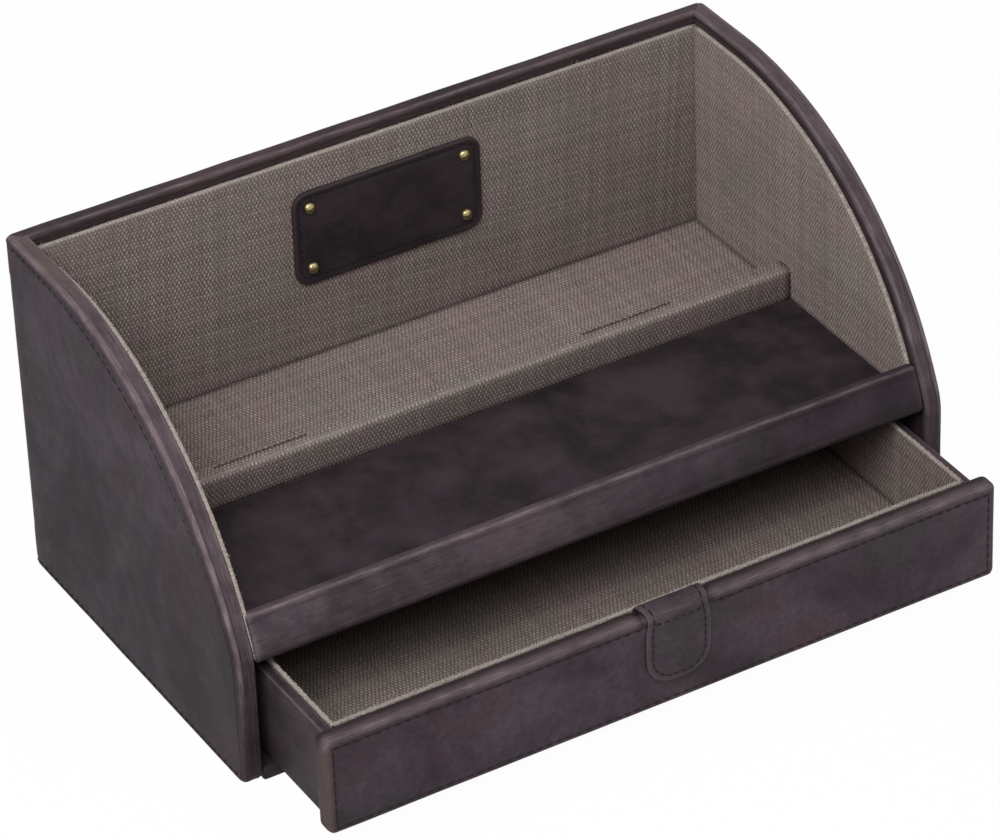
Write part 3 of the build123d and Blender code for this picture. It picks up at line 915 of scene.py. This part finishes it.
# ---- tray floor ----
tray_low = front_curve(FLOOR_TOP + 0.6, RAIL) + 0.1
slab(
    "tray_leather", "carcass", "smooth_leather", (-LINED_X + 0.15, tray_low, FLOOR_TOP),
    (LINED_X - 0.15, DIVIDER_Y0 - 0.1, FLOOR_TOP + FLOOR_LEATHER),
    radius=0.5, step=3.5, replaces=("tray_floor_leather",), ripple=0.12,
    marks=lambda a, b, t, n: {"wear": 0.25 * hump(n, 0.3, 0.5)},
)


# ---- canvas linings ----
LEFT_SHOW = ((5.0, 0.9), (48.0, 2.4), (66.0, 4.0))      # the left lining reaches higher in front
RIGHT_SHOW = ((0.0, RIM_SHOW), (1.0, RIM_SHOW))
LINING_PROFILE = [
    (0.0, 1.0), (0.0, 0.15), (0.15, 0.0), (LINING - 0.5, 0.0), (LINING - 0.2, 0.12), (LINING - 0.05, 0.3),
    (LINING, 0.6), (LINING, 1.4), (LINING, 2.6), (LINING, 4.0),
]
BOX_LINING_PROFILE = [(t * BOX_LINING / LINING, n) for t, n in LINING_PROFILE]


def lining_outline(shows):
    """Outline loop(n) of a side lining in (y, z); shows says how much rim is left free at each y."""
    def loop(n):
        low = FLOOR_TOP + n
        start = math.degrees(math.pi - math.asin((low - ARC_Z) / (ARC_R - ramp(-70.0, shows) - n)))
        curve = []
        for y, z in arc(ARC_Y, ARC_Z, ARC_R, start, 90, 60):
            share = 1.0 - (ramp(y, shows) + n) / ARC_R
            curve.append((ARC_Y + (y - ARC_Y) * share, ARC_Z + (z - ARC_Z) * share))
        back = BACK_LINED_Y - n
        points = [(y, low) for y in spread(back, curve[0][0], 34)[:-1]] + curve
        points += [(y, HEIGHT - ramp(y, shows) - n) for y in spread(ARC_Y, back, 6)[1:]]
        return points + [(back, z) for z in spread(points[-1][1], low, 20)[1:-1]]

    return loop


def ragged(x, y, z, edge):
    """How far a cut canvas edge stands out or back, edge millimetres away from it."""
    return 0.16 * lump(x, y, z, 2.3, 4.4) * hump(edge, 0.0, 0.5)


def cut_edge(edge):
    """How much of the light-coloured cut edge shows, edge millimetres away from it."""
    return 0.5 * hump(edge, 0.0, 0.5) + 0.14 * hump(edge, 0.0, 2.4)


def side_away(p):
    """The way out of a side lining's edge."""
    return Vector((0.0, p.y - ARC_Y if p.y < ARC_Y else 0.0, p.z - ARC_Z)).normalized()


for sign, side in ((-1, "left"), (1, "right")):
    lining_loop = lining_outline(LEFT_SHOW if sign < 0 else RIGHT_SHOW)

    def place(a, b, t, n=0.0):
        bulge = 0.10 * lump(a, b, sign * 20.0, 22.0, 2.0) * (t > 0.7)
        cut = ragged(a, b, sign * 5.0, n)
        return sign * (INNER_X - t - bulge), a + cut, b + cut

    def marks(a, b, t, n):
        foot = b - FLOOR_TOP
        free = foot > 3.0 and a < BACK_LINED_Y - 3.0
        # Painted light: the right lining is brightened all over. Painted shade: a dark band just above the
        # tray floor.
        return {"cut": cut_edge(n) * free, "pale": 0.46 * (sign > 0), "dark": 0.35 * hump(foot, 1.2, 0.7)}

    piece(
        panel(lining_loop, LINING_PROFILE), f"side_canvas_{side}", "carcass", "canvas", place, marks,
        (f"side_lining_{side}",), uv=flat,
    )
    edge = [p for p in lining_loop(0.05) if p[1] > RAIL_Z1 and p[0] < BACK_LINED_Y - 0.4]
    route = [(sign * (INNER_X - LINING / 2 - 0.1), y, z) for y, z in edge]
    fray = frayed_edge(
        route, X * -sign, side_away, 31 + sign, thick=0.62, rise=0.30, pitch=0.8, hairs=0.5,
        gaps=0.22 if sign < 0 else 0.4,
    )
    cluster(f"side_fray_{side}", fray, "carcass", "canvas", YARN)


def wall_lining(name, body, end_x, z0, z1, y_glued, thickness, facing, replaces, shift=0.0, skew=0.0):
    """A canvas board that stands across x. facing is -1 where its canvas looks towards -Y."""
    loop = rectangle(-end_x, end_x, z0, z1, 0.0, 4.0, 1)
    profile = [(t * thickness / LINING, n) for t, n in LINING_PROFILE]

    def place(a, b, t, n=0.0):
        bulge = 0.1 * lump(a, 10.0 * facing, b, 24.0, 9.0) * (t > thickness / 2)
        cut = ragged(a, facing * 5.0, b, n) * (b > z1 - 1)
        return a, y_glued + facing * (t + bulge) + shift, b + cut

    def marks(a, b, t, n):
        shade = 0.16 * hump(b - z0, 0.0, 24.0) if skew else 0.0
        # Painted shade: a dark band in the bottom corner and, on the carcass's back lining, shade that
        # darkens towards the bottom.
        return {"cut": cut_edge(z1 - b), "dark": 0.4 * hump(b - z0, 1.4, 0.8) + shade}

    piece(
        panel(loop, profile), name, body, "canvas", place, marks, replaces,
        uv=lambda a, b, t, n: (a - skew * b, b + skew * a),
    )


BACK_LINING_TOP = HEIGHT - RIM_SHOW
wall_lining(
    "back_canvas", "carcass", INNER_X - 0.1, FLOOR_TOP, BACK_LINING_TOP,
    BACK_INNER_Y, LINING, -1, ("back_lining",), skew=0.06,
)
route = [(x, BACK_INNER_Y - LINING / 2 - 0.1, BACK_LINING_TOP) for x in steps(-LINED_X, LINED_X, 3.0)]
fray = frayed_edge(route, -Y, UP, 41, thick=0.5, rise=0.24, pitch=0.8, hairs=0.45, gaps=0.5)
cluster("back_fray", fray, "carcass", "canvas", YARN)
slab(
    "trough_lining", "carcass", "canvas", (-LINED_X + 0.1, DIVIDER_Y1 - 0.3, FLOOR_TOP),
    (LINED_X - 0.1, BACK_LINED_Y - 0.1, FLOOR_TOP + TROUGH_CANVAS),
    radius=0.35, step=4.0, replaces=("trough_canvas",), ripple=0.1, uv=flat,
    # Painted shade and light: darker along the edges in the corners, a painted shadow towards the left end,
    # and painted light towards the middle and right.
    marks=lambda a, b, t, n: {
        "dark": 0.45 * hump(n, 0.2, 0.7) + 0.3 * hump(a, -LINED_X, 40.0),
        "pale": ramp(a, ((-60.0, 0.0), (10.0, 0.12))),
    },
)


# ---- divider ----
DIVIDER = DIVIDER_Y1 - DIVIDER_Y0
SLOT_T = DIVIDER - SLOT_INSET      # the slots' depth from the divider's front face


def slot_share(a):
    """1 inside the divider's two narrow slots, 0 outside them."""
    inside = max(SLOT_LENGTH / 2 - abs(a - x) for x in SLOT_CENTRES)
    return unit(inside / 0.6 + 0.5)


def divider_section():
    """Section in (height, depth from the front face), with close points round the slots."""
    across = (3.0, 3.8, *[SLOT_T + d for d in (-0.9, -0.62, -0.5, -0.42, 0.0, 0.42, 0.5)])
    return [
        *[(z, 0.0) for z in steps(FLOOR_TOP, DIVIDER_TOP - 2.2, 2.2)[:-1]],
        *roll_out(DIVIDER_TOP, 2.2, FIFTEENS),
        *[(DIVIDER_TOP, t) for t in across if t < DIVIDER - 1.75],
        *arc(DIVIDER_TOP - 1.7, DIVIDER - 1.7, 1.7, 0, 90, 6),
        *[(z, DIVIDER) for z in steps(DIVIDER_TOP - 1.7, FLOOR_TOP, 2.2)[1:]],
        *[(FLOOR_TOP, t) for t in (6.0, 4.0, 2.0)],
    ]


def divider_place(a, b, t, n=0.0):
    top = max(0.0, 1.0 - (DIVIDER_TOP - b) / 3.0)
    z = b + top * 0.12 * lump(a, t, 0.0, 19.0, 3.3)
    if b > DIVIDER_TOP - 2.0 and abs(t - SLOT_T) < 0.45:
        z -= 2.1 * slot_share(a)
    elif b > DIVIDER_TOP - 2.0 and SLOT_T < t < SLOT_T + 1.4:
        z -= 0.18 * slot_share(a)
    return a, DIVIDER_Y0 + t + 0.12 * lump(a, 0.0, b, 23.0, 5.0) * (t < 1), z


def divider_marks(a, b, t, n):
    inside = 1.15 * hump(t, SLOT_T, 0.7) * slot_share(a) * (b > DIVIDER_TOP - 2.5)
    # Painted shade: inside the two slots, over the whole front face, and in the bottom corner on the tray
    # floor.
    return {
        "dark": inside + 0.20 * (t < 0.5) + 0.35 * hump(b, FLOOR_TOP + 1.6, 0.9),
        "cut": 0.14 * hump(t, 1.0, 1.6) * (b > DIVIDER_TOP - 2.0),
    }


def divider_uv(a, b, t, n):
    """The canvas runs up the front, over the top and down the back."""
    if t < 2.0:
        return a, b
    if b > DIVIDER_TOP - 2.3:
        return a, DIVIDER_TOP + t
    return a, DIVIDER_TOP + DIVIDER + DIVIDER_TOP - b


slot_ends = [x + e * SLOT_LENGTH / 2 for x in SLOT_CENTRES for e in (-1, 1)]
slot_ends = {round(end + d, 4) for end in slot_ends for d in (-0.6, -0.3, 0.0, 0.3, 0.6)}
stations = sorted(set(steps(-LINED_X + 0.1, LINED_X - 0.1, 3.0)) | slot_ends)
piece(
    bar(divider_section(), stations), "divider_wrap", "carcass", "canvas", divider_place, divider_marks,
    ("divider_canvas",), uv=divider_uv,
)
threads = []
for x in SLOT_CENTRES:
    start, y = x - SLOT_LENGTH / 2, DIVIDER_Y1 - SLOT_INSET + 0.66
    route = [(start + k, y, DIVIDER_TOP - 0.2) for k in range(int(SLOT_LENGTH) + 1)]
    threads += frayed_edge(route, Y, UP, int(x) + 200, thick=0.26, rise=0.14, pitch=2.3, hairs=0.75)
cluster("slot_fray", threads, "carcass", "canvas", YARN)


# ---- label ----
LABEL_STITCH = 2.4
HALF_LENGTH, HALF_HEIGHT = LABEL_LENGTH / 2, LABEL_HEIGHT / 2
RIVET_X, RIVET_Z = HALF_LENGTH - RIVET_MARGIN, HALF_HEIGHT - RIVET_MARGIN
RIVETS = [(x * RIVET_X, z * RIVET_Z) for x in (-1, 1) for z in (-1, 1)]
label_loop = rectangle(-HALF_LENGTH, HALF_LENGTH, -HALF_HEIGHT, HALF_HEIGHT, LABEL_CORNER, 2.2, 6)
label_profile = [
    (0.0, 1.0), (0.0, 0.25), (0.25, 0.05), (0.7, 0.0), *roll_out(LABEL, 0.8, EIGHTEENS),
    *[(LABEL, n) for n in (1.2, 1.7, 2.05, 2.4, 2.75, 3.2, 4.2)],
]


def label_place(a, b, t, n=0.0):
    rise = t
    if t > 1.2:
        rise += 0.10 * lump(a, 3.0, b, 11.0, 8.0) - 0.28 * hump(n, LABEL_STITCH, 0.45)
        rise -= 0.25 * sum(near(a - x, b - z, 3.2) for x, z in RIVETS)
    return LABEL_X + a, BACK_LINED_Y - rise, LABEL_Z + b


def label_marks(a, b, t, n):
    rivet = math.hypot(abs(a) - RIVET_X, abs(b) - RIVET_Z)
    # sunk darkens the sunk stitch line and, as painted shade, a ring round each rivet head.
    sunk = (0.5 * hump(n, LABEL_STITCH, 0.35) + 0.4 * hump(rivet, 2.4, 0.8)) * (t > 1.2)
    return {"wear": 0.6 * near(LABEL - t - 0.25, n - 0.25, 0.6) + 0.07, "dark": sunk + 0.2 * (n < 2.0)}


piece(
    panel(label_loop, label_profile, step=2.2), "label_leather", "carcass", "smooth_leather",
    label_place, label_marks, ("label_patch",),
)
sewn = stitches(
    label_loop(LABEL_STITCH), lambda a, b, t: label_place(a, b, LABEL + t, LABEL_STITCH),
    closed=True, pitch=2.7, length=1.9, radius=0.27, seed=61,
)
cluster("label_stitches", sewn, "carcass", "thread")


def dome(centre, radius, rise, turns=28, flange=0.16):
    """A rivet head that looks towards -Y, with a thin flange."""
    rings = [(radius * 0.2, -0.5), (radius + 0.1, -0.45), (radius + 0.12, 0.0), (radius, flange)]
    angles = [math.radians(d) for d in range(10, 90, 10)]
    rings += [(radius * math.cos(d), flange + (rise - flange) * math.sin(d)) for d in angles]
    verts = []
    for r, h in rings:
        for k in range(turns):
            turn = 2 * math.pi * k / turns
            verts.append(centre + Vector((r * math.cos(turn), -h, r * math.sin(turn))))
    faces = bands(len(rings), turns)
    verts.append(centre + Vector((0, -rise, 0)))
    top = (len(rings) - 1) * turns
    faces += [(top + k, top + (k + 1) % turns, len(verts) - 1) for k in range(turns)]
    faces.append(tuple(range(turns)))
    return verts, faces


heads = [dome(Vector(label_place(x, z, LABEL, 9.0)), 2.15, 1.5) for x, z in RIVETS]
rivets = cluster("label_domes", heads, "carcass", "antique_brass")
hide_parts("label_rivets")


# ---- drawer front ----
FRONT_TOP = DRAWER_Z + FRONT_H
FACE_Y = FRONT_Y - DRAWER_OPEN
ROLL, REAR_ROLL = 2.9, 2.2
END_SHARE, LOW_SHARE = 0.775, 0.525      # edge rolls and stitch rows at the ends and below, to those on top
TAB_X0, TAB_X1 = TAB_X - TAB_W / 2, TAB_X + TAB_W / 2
front_profile = [
    *[(0.0, n) for n in EDGE_ROWS], *roll_in(ROLL, TENS), (3.6, 0.0), (4.3, 0.0),
    *roll_out(FRONT, REAR_ROLL, FIFTEENS), (FRONT, 3.5), (FRONT, 8.0),
]


def front_loop(n):
    """Outline of the drawer front in (x, z), drawn in by n, less at the ends and below."""
    beyond = max(0.0, n - STITCH_INSET)
    drawn = min(n, STITCH_INSET)
    x = FRONT_X - (drawn * END_SHARE + beyond)
    low = DRAWER_Z + (drawn * LOW_SHARE + beyond)
    return rounded_section(-x, x, low, FRONT_TOP - n, (max(0.0, 3.0 - n),) * 4, (98, 14), 6)


def roll_share(a, b, n):
    """The local size of the edge roll: 1 on top, smaller at the ends and below."""
    reach = [
        (1.0, FRONT_TOP - b), (END_SHARE, (FRONT_X - abs(a)) / END_SHARE),
        (LOW_SHARE, (b - DRAWER_Z) / LOW_SHARE),
    ]
    weights = [(share, 1.0 / (abs(far - n) + 0.15) ** 3) for share, far in reach]
    return sum(share * w for share, w in weights) / sum(w for _, w in weights)


def tab_pinch(a, width):
    """1 beside the pull tab, which pinches the roll of the drawer front."""
    return hump(a, TAB_X0 - 0.5, width) + hump(a, TAB_X1 + 0.5, width)


def front_place(a, b, t, n=0.0):
    share = roll_share(a, b, n)
    y = t * share if t <= ROLL else t - ROLL * (1.0 - share) * max(0.0, 1.0 - (t - ROLL) / 1.4)
    y += (0.18 * hump(n, STITCH_INSET, 0.42) - 0.14 * hump(n, 2.4, 1.0)) * (t < 1.0)
    waves = 0.12 * lump(a, 0.0, b, 25.0, 12.0) + 0.04 * lump(a, 0.0, b, 6.0, 2.0)
    y += waves * (1.0 if t < 2 else 0.2)
    roll = max(0.0, 1.0 - n / 2.6) * unit((b - DRAWER_Z - 25.0) / 8.0)
    z = b + roll * (0.24 * lump(a, t * 2.0, 0.0, 17.0, 3.0) + 0.09 * lump(a, t * 3.0, 0.0, 5.0, 1.0))
    pinch = tab_pinch(a, 1.1)
    z -= roll * 0.8 * pinch
    y += 0.5 * pinch * (t < 3.0) * max(0.0, 1.0 - n / 3.5) * (b > FRONT_TOP - 4.0)
    x = a + math.copysign(0.10 * lump(0.0, t, b, 12.0, 4.0), a) * max(0.0, 1.0 - n / 2.6)
    return x, FACE_Y + y, z


def front_marks(a, b, t, n):
    top = float(FRONT_TOP - b < 3.4)
    edge = near(t - 0.9, n - 0.9, 1.3)
    end = unit(1.3 - (FRONT_X - abs(a)) / 2.6)
    # Painted shade: rear darkens the back of the top, standing in for the shaded groove in front of the
    # drawer's lining, and the roll is darkened in the pinches beside the pull tab.
    rear = ramp(t, ((3.0, 0.0), (4.0, 1.0))) * (b > FRONT_TOP - 3.4)
    sewn = 0.55 * hump(n, STITCH_INSET, 0.30) * (t < 0.5)
    return {
        "wear": edge * (0.44 * top + 0.10) + 0.08 * top * (n < 2) + (0.04 * end if a < 0 else 0.03),
        "brown": (0.6 if a < 0 else 0.2) * end * (1.0 if t < 3.5 else 0.4) + 0.14 * top + 0.3 * rear,
        "dark": sewn + 0.6 * tab_pinch(a, 0.7) * top + 0.72 * rear,
        "fold": top + 0.5 * end,
    }


piece(
    panel(front_loop, front_profile), "drawer_front_skin", "drawer", "leather", front_place, front_marks,
    ("drawer_front_leather", "drawer_front_board"), uv=wrapped,
)


def beside_tab(p, gap):
    """Whether a point of the stitch row is clear of the pull tab."""
    return p[0] <= TAB_X0 - gap or p[0] >= TAB_X1 + gap or p[1] <= DRAWER_Z + 20.0


ring = front_loop(STITCH_INSET)
start = min(
    range(len(ring)), key=lambda i: (ring[i][1] < FRONT_TOP - 5, abs(ring[i][0] - TAB_X0 + 1.5))
)
row = [p for p in ring[start:] + ring[:start] if beside_tab(p, 1.2)]
row.insert(0, (TAB_X0 - 0.9, FRONT_TOP - STITCH_INSET))
gap = max(range(1, len(row)), key=lambda i: math.dist(row[i - 1], row[i]))
if math.dist(row[gap - 1], row[gap]) > TAB_W - 2:
    row = row[gap:] + row[:gap]
sewn = stitches(row, lambda a, b, t: front_place(a, b, -t, STITCH_INSET), seed=71)
cluster("drawer_front_stitches", sewn, "drawer", "thread")


# ---- pull tab ----
TAB_STITCH = 2.3
CROSS_ROW = -STITCH_INSET + 0.2      # the row across the tab, below the drawer's top line
QUARTER, REAR_QUARTER = math.pi / 2 * ROLL, math.pi / 2 * REAR_ROLL
FLAT = FRONT - ROLL - REAR_ROLL
TAB_TOP = -ROLL + QUARTER + REAR_QUARTER + FLAT + 1.6
tab_profile = [
    (-0.3, 0.6), (-0.3, 0.1), (0.0, 0.0), (0.5, 0.0), *roll_out(TAB, 0.45, EIGHTEENS),
    *[(TAB, n) for n in (0.9, 1.5, 1.85, 2.1, 2.3, 2.5, 2.75, 3.2, 4.2)],
]


def tab_place(a, b, t):
    """a is across the tab, b runs up from the drawer's top line, t stands out of the leather."""
    out = t + 0.10 * lump(a, b, 0.0, 9.0, 6.0) * (t > 0.7)
    over = b + ROLL      # length along the fold from where it begins
    if over < 0.0:
        y, z = -out, FRONT_TOP + b
    elif over < QUARTER:
        turn = over / ROLL
        y = ROLL - (ROLL + out) * math.cos(turn)
        z = FRONT_TOP - ROLL + (ROLL + out) * math.sin(turn)
    elif over < QUARTER + FLAT:
        y, z = ROLL + over - QUARTER, FRONT_TOP + out
    elif over < QUARTER + FLAT + REAR_QUARTER:
        turn = (over - QUARTER - FLAT) / REAR_ROLL
        y = FRONT - REAR_ROLL + (REAR_ROLL + out) * math.sin(turn)
        z = FRONT_TOP - REAR_ROLL + (REAR_ROLL + out) * math.cos(turn)
    else:
        y, z = FRONT + out, FRONT_TOP - REAR_ROLL - (over - QUARTER - FLAT - REAR_QUARTER)
    return TAB_X + a, FACE_Y + y, z


def tab_loop(n):
    """The U outline in (a, b), drawn in by n."""
    low = -TAB_DROP - 1.4
    half, r = TAB_W / 2 - n, max(0.3, TAB_CORNER - n)
    side = spread(low + n + r, TAB_TOP, 22)[1:]
    return [
        *arc(-half + r, low + n + r, r, 180, 270, 10),
        *[(a, low + n) for a in spread(-half + r, half - r, 5)[1:-1]],
        *arc(half - r, low + n + r, r, 270, 360, 10),
        *[(half, b) for b in side],
        *[(a, TAB_TOP) for a in spread(half, -half, 16)[1:-1]],
        *[(-half, b) for b in reversed(side)],
    ]


def tab_shape(a, b, t, n):
    waist = 0.9 * hump(b, -2.0, 3.6)
    a -= math.copysign(min(waist, abs(a)), a) * min(1.0, abs(a) / 9.0)
    groove = 0.10 * hump(n, TAB_STITCH, 0.3) + 0.14 * hump(b, CROSS_ROW, 0.4) * (n > 0.9)
    return tab_place(a, b, 0.72 * t - groove * (t > 0.9))


def tab_marks(a, b, t, n):
    edge = near(TAB - t - 0.2, n - 0.3, 0.7)
    over = float(b > -3.2)
    sewn = (0.30 * hump(n, TAB_STITCH, 0.25) + 0.35 * hump(b, CROSS_ROW, 0.4)) * (t > 0.9)
    # Painted shadow: the tab's edge against the drawer front is painted dark.
    return {
        "wear": 0.10 * edge + 0.18 * over * hump(b, -1.0, 2.0) + (0.10 if 0.1 < n < 2.0 else 0.07),
        "dark": sewn + 0.7 * (t < 0.6 and n < 0.2),
        "fold": 0.8 * over,
    }


piece(
    panel(tab_loop, tab_profile, step=1.6), "pull_tab_leather", "drawer", "leather", tab_shape, tab_marks,
    ("pull_tab",), uv=wrapped,
)
row = [p for p in tab_loop(TAB_STITCH) if p[1] < TAB_TOP - 0.5]
split = next(i for i in range(1, len(row)) if math.dist(row[i - 1], row[i]) > 6.0)
sewn = stitches(
    row[split:] + row[:split], lambda a, b, t: tab_shape(a, b, TAB + t, TAB_STITCH),
    pitch=2.8, length=1.9, radius=0.27, seed=81,
)
sewn += stitches(
    [(a, CROSS_ROW) for a in steps(-TAB_W / 2 + 2.4, TAB_W / 2 - 2.4, 2.0)],
    lambda a, b, t: tab_shape(a, b, TAB + t, 5.0), pitch=3.1, length=2.2, radius=0.26, seed=82,
)
cluster("pull_tab_stitches", sewn, "drawer", "thread")

# ---- drawer box ----
SHUT = -DRAWER_OPEN
WALL_Y0 = FRONT_Y + FRONT - 0.4


def wall_skin(name, x0, x1, y0, y1, replaces, top=WALL_TOP):
    """Leather-wrapped wall of the drawer box, its outline in x and y."""
    def marks(a, b, t, n):
        high = t > top - DRAWER_Z - 1.5
        worn = 0.55 * hump(n, 0.25, 0.3) * (1.0 if high else 0.1)
        # Painted shade: the upright faces of the drawer's walls are painted darker.
        return {"wear": worn, "dark": 0.42 * (n < 0.1), "fold": 0.5 * high}

    slab(
        name, "drawer", "leather", (x0, y0 + SHUT, DRAWER_Z), (x1, y1 + SHUT, top), radius=0.8,
        step=4.5, replaces=replaces, ripple=0.05, marks=marks, uv=lambda a, b, t, n: (b, a + t),
    )


for sign, side in ((-1, "left"), (1, "right")):
    xs = sorted((sign * BOX_X, sign * WALL_IN_X))
    wall_skin(f"drawer_wall_{side}", *xs, WALL_Y0, BOX_REAR_Y, (f"drawer_side_leather_{side}",))
wall_x = BOX_X - 0.3
wall_skin("drawer_wall_rear", -wall_x, wall_x, REAR_IN_Y, BOX_REAR_Y, ("drawer_back_leather",))
wall_skin(
    "drawer_wall_front", -wall_x, wall_x, WALL_Y0 - 0.2, BOX_FRONT_Y, ("drawer_box_front",), WALL_TOP - 0.2
)
slab(
    "drawer_underside", "drawer", "leather", (-BOX_X + 0.6, WALL_Y0 + SHUT, DRAWER_Z - 0.05),
    (BOX_X - 0.6, BOX_REAR_Y - 0.4 + SHUT, LINING_Z0 - 1.0),
    radius=0.6, step=7.0, replaces=("drawer_bottom_leather",), ripple=0.05, uv=wrapped,
)
slab(
    "drawer_floor_canvas", "drawer", "canvas",
    (-LINED_BOX_X + 0.1, BOX_FRONT_Y + BOX_LINING + SHUT, LINING_Z0),
    (LINED_BOX_X - 0.1, REAR_IN_Y - BOX_LINING + SHUT, LINING_Z0 + BOX_FLOOR_LINING),
    radius=0.35, step=4.0, replaces=("drawer_floor_lining",), ripple=0.12, uv=flat,
    # Painted shade: the drawer's floor canvas is darkened all over, and more along its edges in the corners.
    marks=lambda a, b, t, n: {"dark": 0.18 + 0.4 * hump(n, 0.2, 0.8)},
)
for end, y, facing, node in (("front", BOX_FRONT_Y, 1, "front"), ("rear", REAR_IN_Y, -1, "back")):
    wall_lining(
        f"drawer_canvas_{end}", "drawer", WALL_IN_X - 0.05, LINING_Z0, LINING_Z1, y, BOX_LINING, facing,
        (f"drawer_{node}_lining",), SHUT,
    )
for sign, side in ((-1, "left"), (1, "right")):
    def place(a, b, t, n=0.0):
        bulge = 0.1 * lump(a, b, sign * 15.0, 24.0, 9.0) * (t > 0.7)
        return sign * (WALL_IN_X - t - bulge), a, b + ragged(a, b, sign * 5.0, LINING_Z1 - b)

    def marks(a, b, t, n):
        # Painted shade: a dark band in the bottom corner, and the left lining darker all over.
        dark = 0.4 * hump(b - LINING_Z0, 1.4, 0.8) + 0.3 * (sign < 0)
        return {"cut": 0.3 * hump(LINING_Z1 - b, 0.0, 0.5), "dark": dark}

    loop = rectangle(BOX_FRONT_Y + SHUT, REAR_IN_Y + SHUT, LINING_Z0, LINING_Z1, 0.0, 4.0, 1)
    piece(
        panel(loop, BOX_LINING_PROFILE), f"drawer_canvas_{side}", "drawer", "canvas", place, marks,
        (f"drawer_side_lining_{side}",), uv=flat,
    )

rim_x = WALL_IN_X - BOX_LINING / 2
rim_y0, rim_y1 = BOX_FRONT_Y + SHUT + BOX_LINING / 2, REAR_IN_Y + SHUT - BOX_LINING / 2
rim = rectangle(-rim_x, rim_x, rim_y0, rim_y1, 0.8, 3.0, 3)(0.0)


def rim_across(p):
    """Thickness direction of the drawer's lining at a point of its rim."""
    return Y if min(abs(p.y - rim_y0), abs(p.y - rim_y1)) < 0.6 else X


route = [(x, y, LINING_Z1 - 0.1 + 0.25 * lump(x, y, 0.0, 26.0, 5.5)) for x, y in rim]
fray = frayed_edge(
    route, rim_across, UP, 91, thick=0.98, rise=0.72, pitch=0.98, hairs=0.35, closed=True
)
cluster("drawer_fray", fray, "drawer", "canvas", YARN)

# ---- CAD nodes that stay ----
slots = {row["node"]: row["material_slot"] for row in frame["record"]["subparts"]}
for name, node in frame["nodes"].items():
    node.data.materials.clear()
    node.data.materials.append(LOOK[slots[name]])

# ---- stage, light, camera ----
FLOOR_GLOW = 0.97      # share of pure white in the floor that the camera sees
FLOOR_SIZE, FLOOR_Z = 4.0, -0.0002
DOME_LIGHT = 0.22


def seen(n):
    """1 for the camera's rays and what it sees in gloss or glass, 0 for light on the object."""
    rays = n.add("LightPath").outputs
    plain = n.math("ADD", rays["Is Camera Ray"], rays["Is Glossy Ray"])
    return n.math("ADD", plain, rays["Is Transmission Ray"], clamp=True)


def floor_material():
    """White to the camera, with a part of the real light left so that shadows stay."""
    n = material("floor")
    glow = n.add("Emission", {"Color": WHITE, "Strength": 1.0}).outputs[0]
    matt = n.add("BsdfDiffuse", {"Color": (0.86, 0.86, 0.86)}).outputs[0]
    return n.close(n.add("MixShader", {0: n.times(seen(n), FLOOR_GLOW), 1: matt, 2: glow}))


mesh = bpy.data.meshes.new("floor")
corners = [(x * FLOOR_SIZE, y * FLOOR_SIZE, FLOOR_Z) for x, y in ((-1, -1), (1, -1), (1, 1), (-1, 1))]
mesh.from_pydata(corners, [], [(0, 1, 2, 3)])
mesh.materials.append(floor_material())
floor = link("floor", mesh)

world = bpy.data.worlds.new("studio")
bpy.context.scene.world = world
n = Nodes(world, "OutputWorld")
dome_light, white = (
    n.add("Background", {0: WHITE, 1: strength}).outputs[0] for strength in (DOME_LIGHT, 1.0)
)
n.close(n.add("MixShader", {0: seen(n), 1: dome_light, 2: white}))


def lamp(name, azimuth, elevation, distance, size, power):
    """A soft square lamp that looks at the box. Azimuth 0 is in front, positive to the right."""
    light = bpy.data.lights.new(name, "AREA")
    light.energy, light.size = power, size
    made = link(name, light)
    a, e = math.radians(azimuth), math.radians(elevation)
    way = Vector((math.sin(a) * math.cos(e), -math.cos(a) * math.cos(e), math.sin(e)))
    made.location = Vector((0.0, 0.0, 0.06)) + way * distance
    made.rotation_euler = (-way).to_track_quat("-Z", "Y").to_euler()


lamp("key", azimuth=-47.0, elevation=50.0, distance=1.5, size=0.8, power=18.5)
lamp("fill", azimuth=25.0, elevation=54.0, distance=1.8, size=1.2, power=3.8)
lamp("back", azimuth=160.0, elevation=62.0, distance=1.6, size=0.8, power=2.5)

# The camera's place and its three directions, fitted to the box's corners and edges
CAMERA_PLACE = (-0.7591, -1.3507, 1.1146)
RIGHT, HIGH, AHEAD = (0.8579, -0.5128, -0.0337), (0.3147, 0.4724, 0.8233), (0.4063, 0.7169, -0.5666)
camera = link("camera", bpy.data.cameras.new("camera"))
camera.data.sensor_width = 36.0
camera.data.lens = 202.26
turn = Matrix((RIGHT, HIGH, -Vector(AHEAD))).transposed()
camera.matrix_world = Matrix.Translation(CAMERA_PLACE) @ turn.to_4x4()
bpy.context.scene.camera = camera
bpy.context.scene.view_settings.view_transform = "Standard"
